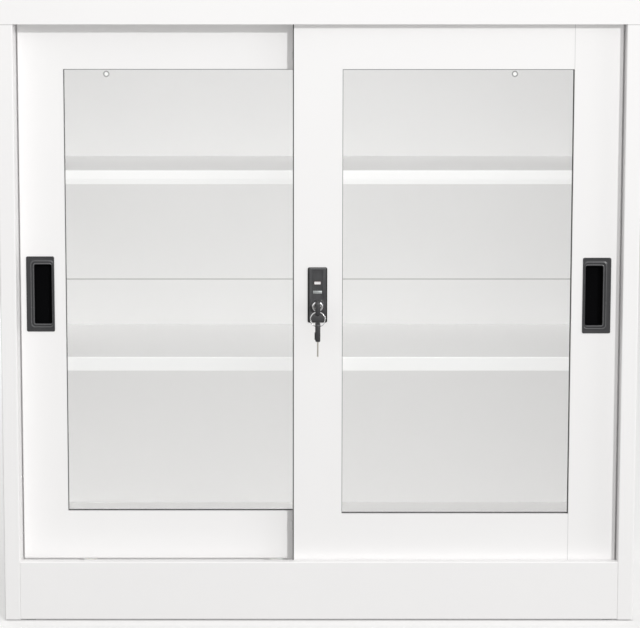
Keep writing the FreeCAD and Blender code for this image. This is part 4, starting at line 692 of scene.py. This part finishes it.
def finish_mesh(name, mesh, material, angle=SMOOTH_ANGLE):
    """A closed mesh with its faces outward, as a piece at the origin."""
    bmesh.ops.recalc_face_normals(mesh, faces=mesh.faces)
    made = bpy.data.meshes.new(name)
    mesh.to_mesh(made)
    mesh.free()
    made.materials.append(material)
    smooth(made, angle)
    piece = bpy.data.objects.new(name, made)
    scene.collection.objects.link(piece)
    return piece


satin_black = new_finish(
    "satin_black_plastic", {"Specular IOR Level": 0.44}, orange_peel,
    {"Coat": PULL_BLACK, "Thin Coat": PULL_WORN, "Gloss": 0.33, "Gloss Spread": 0.12,
     "Peel Scale": 1900.0, "Peel Depth": 0.12, "Mottle Scale": 55.0},
)
# Painted highlight on the ridges: a lighter grey than the plate, for the light on their edges.
ridge_painted_highlight = new_finish(
    "rubbed_black_ridge", {"Specular IOR Level": 0.5}, orange_peel,
    {"Coat": RIDGE_PAINTED_HIGHLIGHT_GREY, "Thin Coat": RIDGE_PAINTED_HIGHLIGHT_DULL, "Gloss": 0.26, "Gloss Spread": 0.12,
     "Peel Scale": 1900.0, "Peel Depth": 0.08, "Mottle Scale": 90.0},
)
# Painted shade in the finger pocket: a deeper black than the plate, with almost no sheen.
pocket_painted_shade = new_finish(
    "matt_black_pocket", {"Specular IOR Level": 0.04}, orange_peel,
    {"Coat": POCKET_PAINTED_SHADE_BLACK, "Thin Coat": POCKET_PAINTED_SHADE_BLACK, "Gloss": 0.85,
     "Peel Scale": 1900.0, "Peel Depth": 0.1, "Mottle Scale": 55.0},
)

for door, side in (("left_door", -1), ("right_door", 1)):
    low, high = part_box(f"{door}_handle")
    outer, inner = (low.x, high.x) if side < 0 else (high.x, low.x)
    pull = bmesh.new()
    rings = []
    finishes = []
    wall = [inset - PULL_WALL for inset in PULL_MOUTH[:3]]
    back_rings = [(*wall, PULL_BACK_CORNER, depth, PLATE)
                  for depth in (high.y - low.y, PULL_PROFILE[0][4])]
    for out_inset, in_inset, end_inset, radius, depth, finish in (*back_rings, *PULL_PROFILE):
        edge_out = outer - side * out_inset
        edge_in = inner + side * in_inset
        rings.append(rounded_ring(pull, min(edge_out, edge_in), max(edge_out, edge_in),
                                  low.z + end_inset, high.z - end_inset, radius, low.y + depth))
        finishes += [finish] * len(rings[-1])
    skin_rings(pull, rings)
    pull.faces.ensure_lookup_table()
    for face, finish in zip(pull.faces, finishes[len(rings[0]):]):
        face.material_index = finish
    pull.faces[-1].material_index = POCKET
    flush_pull = finish_mesh(f"{door}_flush_pull", pull, satin_black)
    flush_pull.data.materials.append(ridge_painted_highlight)
    flush_pull.data.materials.append(pocket_painted_shade)
    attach(flush_pull, door)
    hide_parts(f"{door}_handle")


# Push lock ------------------------------------------------------------------------------------
# A black moulded housing with a bevelled face plate, a recessed panel with a small indicator and
# a bare label strip, and a chrome barrel that is pushed in to lock. Two screws hold it inside.

PLATE_RISE = 0.0025
PLATE_CORNER = 0.0025
PLATE_SHADE_BAND = 0.0010
# Inset and depth of the face plate's rings, from its back to its face.
PLATE_PROFILE = ((0.0, PLATE_RISE), (0.0, 0.0011), (0.0004, 0.0006), (0.0019, 0.0001),
                 (0.0023, 0.0))
BLOCK_HALF = (0.010, 0.022)
BLOCK_CORNER = 0.0012
PANEL_HALF = (0.0071, 0.0213)
PANEL_RISE = 0.0143
PANEL_CORNER = 0.0010
# Draft and depth of the panel cutter's rings.
PANEL_PROFILE = ((-0.0003, -0.0010), (0.0, -0.0001), (0.0002, 0.0008))
BORE_RADIUS = 0.00805
BORE_DISH = 0.0092
BORE_DISH_DEPTH = 0.0007
CUT_PAST = 0.001
INDICATOR_HALF = (0.0050, 0.0025)
STRIP_HALF = (0.0063, 0.0021)
INLAY_CORNER = 0.0006
# Inset and depth of the rings of both inlays, and of the indicator's inner field.
INLAY_PROFILE = ((0.0, 0.0005), (0.0, 0.00015), (0.0002, 0.0))
FIELD_PROFILE = ((0.0004, 0.0), (0.0006, 0.0001))
BORDER, FIELD, STRIP = 0, 1, 2
# Radius and depth of the barrel's turned outline: the rows at the back are measured from its
# back end, and those in front from its face.
BARREL_BACK = ((0.0012, 0.0), (0.0074, 0.0), (0.00775, -0.00035))
BARREL_FRONT = (
    (0.00775, 0.0011), (0.00768, 0.0005), (0.0075, 0.00015), (0.0072, 0.0), (0.0049, 0.0),
    (0.0046, 0.0001), (0.0043, 0.0004), (0.00415, 0.0009), (0.00415, 0.0200), (0.0012, 0.0200),
)
TURNED_SIDES = 64
LOCK_BLACK = (0.040, 0.040, 0.042, 1.0)
LOCK_WORN = (0.070, 0.070, 0.072, 1.0)
# Painted shade: the plate's left and right edges are darkened to stand in for the shade on its
# bevel.
SIDE_EDGE_PAINTED_SHADE = (0.008, 0.008, 0.008, 1.0)
INDICATOR_RED = (0.055, 0.008, 0.010, 1.0)
INDICATOR_RED_WORN = (0.070, 0.012, 0.014, 1.0)
INDICATOR_WHITE = (0.84, 0.83, 0.83, 1.0)
INDICATOR_WHITE_WORN = (0.76, 0.75, 0.75, 1.0)
STRIP_GREY = (0.42, 0.44, 0.435, 1.0)
STRIP_DARK = (0.33, 0.35, 0.345, 1.0)
CHROME = (0.93, 0.93, 0.935, 1.0)
CHROME_CLOUD = (0.88, 0.88, 0.885, 1.0)


def carve(piece, cutters):
    """Takes closed cutters out of a piece, and keeps the result as its plain mesh."""
    for cutter in cutters:
        cut = piece.modifiers.new("cut", "BOOLEAN")
        cut.operation = "DIFFERENCE"
        cut.solver = "EXACT"
        cut.object = cutter
    bpy.context.view_layer.update()
    plain_mesh(piece)
    smooth(piece.data, SMOOTH_ANGLE)
    for cutter in cutters:
        bpy.data.objects.remove(cutter)


def turned_piece(name, profile, centre, material):
    """A piece turned on a lathe about the lock's axis: radius and depth behind the front."""
    mesh = bmesh.new()
    rings = []
    for radius, depth in profile:
        ring = []
        for step in range(TURNED_SIDES):
            turn = 2 * math.pi * step / TURNED_SIDES
            ring.append(mesh.verts.new((centre.x + radius * math.cos(turn), centre.y + depth,
                                        centre.z + radius * math.sin(turn))))
        rings.append(ring)
    skin_rings(mesh, rings)
    return finish_mesh(name, mesh, material)


plate_low, plate_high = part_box("lock_housing")
barrel_low, barrel_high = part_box("lock_barrel")
axis = Vector(((barrel_low.x + barrel_high.x) / 2, barrel_low.y,
               (barrel_low.z + barrel_high.z) / 2))
panel_z = (plate_low.z + plate_high.z) / 2 + PANEL_RISE

lock_black_and_edge_shade = new_finish(
    "satin_black_lock", {"Specular IOR Level": 0.34}, orange_peel,
    {"Coat": LOCK_BLACK, "Thin Coat": LOCK_WORN, "Gloss": 0.33, "Gloss Spread": 0.12,
     "Peel Scale": 1900.0, "Peel Depth": 0.06, "Mottle Scale": 120.0},
)
# Painted shade on the plate's left and right bevels, darker than the rest of the black.
for edge in (plate_low.x + PLATE_SHADE_BAND, plate_high.x - PLATE_SHADE_BAND):
    shade_where(lock_black_and_edge_shade, sheet_joint,
                {"Across": ALONG_DOOR, "At": edge, "Half Width": PLATE_SHADE_BAND}, SIDE_EDGE_PAINTED_SHADE)

housing = bmesh.new()
rings = [
    rounded_ring(housing, axis.x - BLOCK_HALF[0], axis.x + BLOCK_HALF[0],
                 axis.z - BLOCK_HALF[1], axis.z + BLOCK_HALF[1], BLOCK_CORNER, y)
    for y in (plate_high.y, plate_low.y + PLATE_RISE)
]
for inset, depth in PLATE_PROFILE:
    rings.append(rounded_ring(housing, plate_low.x + inset, plate_high.x - inset,
                              plate_low.z + inset, plate_high.z - inset,
                              PLATE_CORNER - inset / 2, plate_low.y + depth))
skin_rings(housing, rings)
lock_body = finish_mesh("lock_body", housing, lock_black_and_edge_shade)

recess = bmesh.new()
skin_rings(recess, [
    rounded_ring(recess, axis.x - PANEL_HALF[0] + draft, axis.x + PANEL_HALF[0] - draft,
                 panel_z - PANEL_HALF[1] + draft, panel_z + PANEL_HALF[1] - draft,
                 PANEL_CORNER, plate_low.y + depth)
    for draft, depth in PANEL_PROFILE
])
recess_cutter = finish_mesh("recess_cutter", recess, lock_black_and_edge_shade)
face_depth = plate_low.y - axis.y
bore_cutter = turned_piece(
    "bore_cutter",
    ((BORE_DISH, face_depth - CUT_PAST), (BORE_DISH, face_depth),
     (BORE_RADIUS, face_depth + BORE_DISH_DEPTH),
     (BORE_RADIUS, plate_high.y - axis.y + CUT_PAST)),
    axis, lock_black_and_edge_shade)
carve(lock_body, (recess_cutter, bore_cutter))
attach(lock_body, "right_door")
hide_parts("lock_housing")

indicator_red, indicator_white = (
    new_finish(
        name, {"Specular IOR Level": 0.5}, orange_peel,
        {"Coat": coat, "Thin Coat": worn, "Gloss": 0.25, "Gloss Spread": 0.08,
         "Peel Scale": 3000.0, "Peel Depth": 0.05, "Mottle Scale": 200.0},
    )
    for name, coat, worn in (("indicator_red", INDICATOR_RED, INDICATOR_RED_WORN),
                             ("indicator_white", INDICATOR_WHITE, INDICATOR_WHITE_WORN))
)
bare_strip = new_finish(
    "bare_label_metal", {"Metallic": 0.55}, plating,
    {"Metal": STRIP_GREY, "Cloud": STRIP_DARK, "Cloud Scale": 900.0, "Gloss": 0.38,
     "Gloss Spread": 0.15, "Brush Scale": 4000.0, "Brush Depth": 0.1},
)
inlay_low, inlay_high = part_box("lock_state_window")
inlays = bmesh.new()
for half, centre_z, profile, band, middle in (
    (INDICATOR_HALF, inlay_high.z - INDICATOR_HALF[1], INLAY_PROFILE + FIELD_PROFILE,
     BORDER, FIELD),
    (STRIP_HALF, inlay_low.z + STRIP_HALF[1], INLAY_PROFILE, STRIP, STRIP),
):
    before = len(inlays.faces)
    skin_rings(inlays, [
        rounded_ring(inlays, axis.x - half[0] + inset, axis.x + half[0] - inset,
                     centre_z - half[1] + inset, centre_z + half[1] - inset,
                     INLAY_CORNER, inlay_low.y + depth)
        for inset, depth in profile
    ])
    inlays.faces.ensure_lookup_table()
    for face in inlays.faces[before:]:
        face.material_index = band
    inlays.faces[-1].material_index = middle
lock_inlays = finish_mesh("lock_inlays", inlays, indicator_red)
lock_inlays.data.materials.append(indicator_white)
lock_inlays.data.materials.append(bare_strip)
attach(lock_inlays, "right_door")
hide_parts("lock_state_window")

chrome = new_finish(
    "bright_chrome", {"Metallic": 1.0}, plating,
    {"Metal": CHROME, "Cloud": CHROME_CLOUD, "Cloud Scale": 300.0, "Gloss": 0.07,
     "Gloss Spread": 0.08, "Brush Scale": 2500.0, "Brush Depth": 0.02},
)
barrel_run = barrel_high.y - barrel_low.y
push_barrel = turned_piece(
    "push_barrel",
    [(radius, barrel_run + depth) for radius, depth in BARREL_BACK] + list(BARREL_FRONT),
    axis, chrome)
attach(push_barrel, "lock_plunger")
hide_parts("lock_barrel")
dress(("lock_bolt", "lock_screws", "strike_plate"), zinc)


# Keys on their split ring ---------------------------------------------------------------------
# Two nickel-plated blades in black moulded heads, one in the lock's plug and its spare below, on
# a split ring of springy plated wire wound nearly twice. The blades are cut along one edge.

HEAD_CORNER = 0.0030
# Inset and half thickness of a head's rings, from its edge to its face.
HEAD_EDGE = ((0.0, 0.0019), (0.0003, 0.0026), (0.0008, 0.0032), (0.0014, 0.0035))
HEAD_FACE = HEAD_EDGE[-1][1]
HEAD_STEPS = 5
SLOT_HALF = (0.0023, 0.0064)
SLOT_IN = 0.006
SLOT_FLARE = 0.0026
SLOT_CORNER = 0.0004
DIMPLE_HALF = (0.0045, 0.0060)
DIMPLE_IN = 0.0075
DIMPLE_CORNER = 0.0022
# Growth and height above the face of the dimple cutter's rings.
DIMPLE_PROFILE = ((0.0005, 0.0010), (0.0002, 0.0), (-0.0004, -0.0006))
# Place and depth of the blade's cuts, and half the width of a cut at its mouth and floor.
BLADE_CUTS = ((0.0040, 0.0012), (0.0070, 0.0022), (0.0100, 0.0008), (0.0130, 0.0018),
              (0.0160, 0.0011))
CUT_MOUTH = 0.0011
CUT_FLOOR = 0.0003
# Length of the two slopes of the tip, and height of its end's corners as a share of half a blade.
TIP_RUNS = (0.0028, 0.0018)
TIP_SHARES = (0.12, -0.25)
# Place of the blade's rings as a share of its thickness, and their inset.
BLADE_RINGS = ((-0.5, 0.00018), (-0.34, 0.0), (0.34, 0.0), (0.5, 0.00018))
BLADE_ANGLE = 25
NICKEL = (0.66, 0.63, 0.57, 1.0)
NICKEL_CLOUD = (0.52, 0.49, 0.43, 1.0)
RING_TURNS = 1.9
RING_STEPS = 150
RING_SIDES = 12
RING_SECTION = (0.00072, 0.00027)
RING_INSET = 0.0008
RING_PITCH = 0.00056
RING_START = math.radians(40)
RING_ANGLE = 60

nickel = new_finish(
    "nickel_plated_brass", {"Metallic": 1.0}, plating,
    {"Metal": NICKEL, "Cloud": NICKEL_CLOUD, "Cloud Scale": 420.0, "Gloss": 0.24,
     "Gloss Spread": 0.14, "Brush Scale": 3000.0, "Brush Depth": 0.06},
)


def flat_ring(mesh, x, y, z, radius):
    """Corners of a rounded rectangle that stands in the YZ plane."""
    return [mesh.verts.new((x, *point))
            for point in corner_points((y[0], z[0]), (y[1], z[1]), radius, HEAD_STEPS)]


def moulded_head(name, node, slot_across, body):
    """A key's head with its flared slot near the free end, and a thumb dimple on each side."""
    low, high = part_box(node)
    middle_x = (low.x + high.x) / 2
    if slot_across == "z":
        slot = ((low.y + SLOT_IN, SLOT_HALF[0]), ((low.z + high.z) / 2, SLOT_HALF[1]))
        dimple = (high.y - DIMPLE_IN, (low.z + high.z) / 2, DIMPLE_HALF)
    else:
        slot = (((low.y + high.y) / 2, SLOT_HALF[1]), (high.z - SLOT_IN, SLOT_HALF[0]))
        dimple = ((low.y + high.y) / 2, low.z + DIMPLE_IN, DIMPLE_HALF[::-1])
    mesh = bmesh.new()
    rings = []
    for side in (-1, 1):
        here = []
        for inset, reach in HEAD_EDGE:
            here.append(flat_ring(mesh, middle_x + side * reach, (low.y + inset, high.y - inset),
                                  (low.z + inset, high.z - inset), HEAD_CORNER - inset / 2))
        for flare, reach in ((SLOT_FLARE, HEAD_FACE), (0.0, HEAD_FACE - SLOT_FLARE)):
            here.append(flat_ring(
                mesh, middle_x + side * reach,
                (slot[0][0] - slot[0][1] - flare, slot[0][0] + slot[0][1] + flare),
                (slot[1][0] - slot[1][1] - flare, slot[1][0] + slot[1][1] + flare),
                SLOT_CORNER + flare / 3))
        rings += here if side < 0 else here[::-1]
    skin_rings(mesh, rings + rings[:1], closed_loop=True)
    head = finish_mesh(name, mesh, satin_black)
    cutters = []
    for side in (-1, 1):
        dent = bmesh.new()
        skin_rings(dent, [
            flat_ring(dent, middle_x + side * HEAD_FACE + side * out,
                      (dimple[0] - dimple[2][0] - grow, dimple[0] + dimple[2][0] + grow),
                      (dimple[1] - dimple[2][1] - grow, dimple[1] + dimple[2][1] + grow),
                      DIMPLE_CORNER)
            for grow, out in DIMPLE_PROFILE
        ])
        cutters.append(finish_mesh("dimple_cutter", dent, satin_black))
    carve(head, cutters)
    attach(head, body)
    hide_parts(node)


def cut_blade(name, node, shoulder, along, across, body):
    """A key's blade: notched along one edge, pointed, and chamfered. Its thickness is along X."""
    low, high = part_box(node)
    thickness = high.x - low.x
    length = abs((high - low).dot(along))
    half = abs((high - low).dot(across)) / 2
    outline = [(0.0, -half), (0.0, half)]
    for place, depth in BLADE_CUTS:
        outline += [(place - CUT_MOUTH, half), (place - CUT_FLOOR, half - depth),
                    (place + CUT_FLOOR, half - depth), (place + CUT_MOUTH, half)]
    outline += [(length - TIP_RUNS[0], half), (length, half * TIP_SHARES[0]),
                (length, half * TIP_SHARES[1]), (length - TIP_RUNS[1], -half)]
    mesh = bmesh.new()
    rings = []
    for x, shrink in BLADE_RINGS:
        ring = []
        for place, height in outline:
            run = min(max(place, shrink), length - shrink)
            rise = math.copysign(max(abs(height) - shrink, 0.0), height)
            spot = shoulder + along * run + across * rise
            ring.append(mesh.verts.new((spot.x + x * thickness, spot.y, spot.z)))
        rings.append(ring)
    skin_rings(mesh, rings)
    blade = finish_mesh(name, mesh, nickel, BLADE_ANGLE)
    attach(blade, body)
    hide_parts(node)


moulded_head("key_grip", "key_head", "z", "key")
moulded_head("spare_key_grip", "spare_key_head", "y", "spare_key")
low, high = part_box("key_blade")
cut_blade("key_shaft", "key_blade",
          Vector(((low.x + high.x) / 2, low.y, (low.z + high.z) / 2)),
          Vector((0, 1, 0)), Vector((0, 0, 1)), "key")
low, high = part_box("spare_key_blade")
cut_blade("spare_key_shaft", "spare_key_blade",
          Vector(((low.x + high.x) / 2, (low.y + high.y) / 2, high.z)),
          Vector((0, 0, -1)), Vector((0, 1, 0)), "spare_key")
dress(("key_plug",), chrome)

low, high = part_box("key_ring")
ring_centre = (low + high) / 2
ring_radius = (high.x - low.x) / 2 - RING_INSET
wire = bmesh.new()
rings = []
for step in range(RING_STEPS + 1):
    share = step / RING_STEPS
    turn = RING_START + 2 * math.pi * RING_TURNS * share
    lift = (share - 0.5) * RING_TURNS * RING_PITCH
    ring = []
    for spot in range(RING_SIDES):
        around = 2 * math.pi * spot / RING_SIDES
        radius = ring_radius + RING_SECTION[0] * math.cos(around)
        ring.append(wire.verts.new((
            ring_centre.x + radius * math.cos(turn),
            ring_centre.y + lift + RING_SECTION[1] * math.sin(around),
            ring_centre.z + radius * math.sin(turn))))
    rings.append(ring)
skin_rings(wire, rings)
split_ring = finish_mesh("split_ring", wire, chrome, RING_ANGLE)
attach(split_ring, "key_ring")
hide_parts("key_ring")

key_lamp.light_linking.blocker_collection = light_group(
    "hanging_keys",
    [bpy.data.objects[name] for name in
     ("key_grip", "key_shaft", "spare_key_grip", "spare_key_shaft", "split_ring")],
    "EXCLUDE",
)
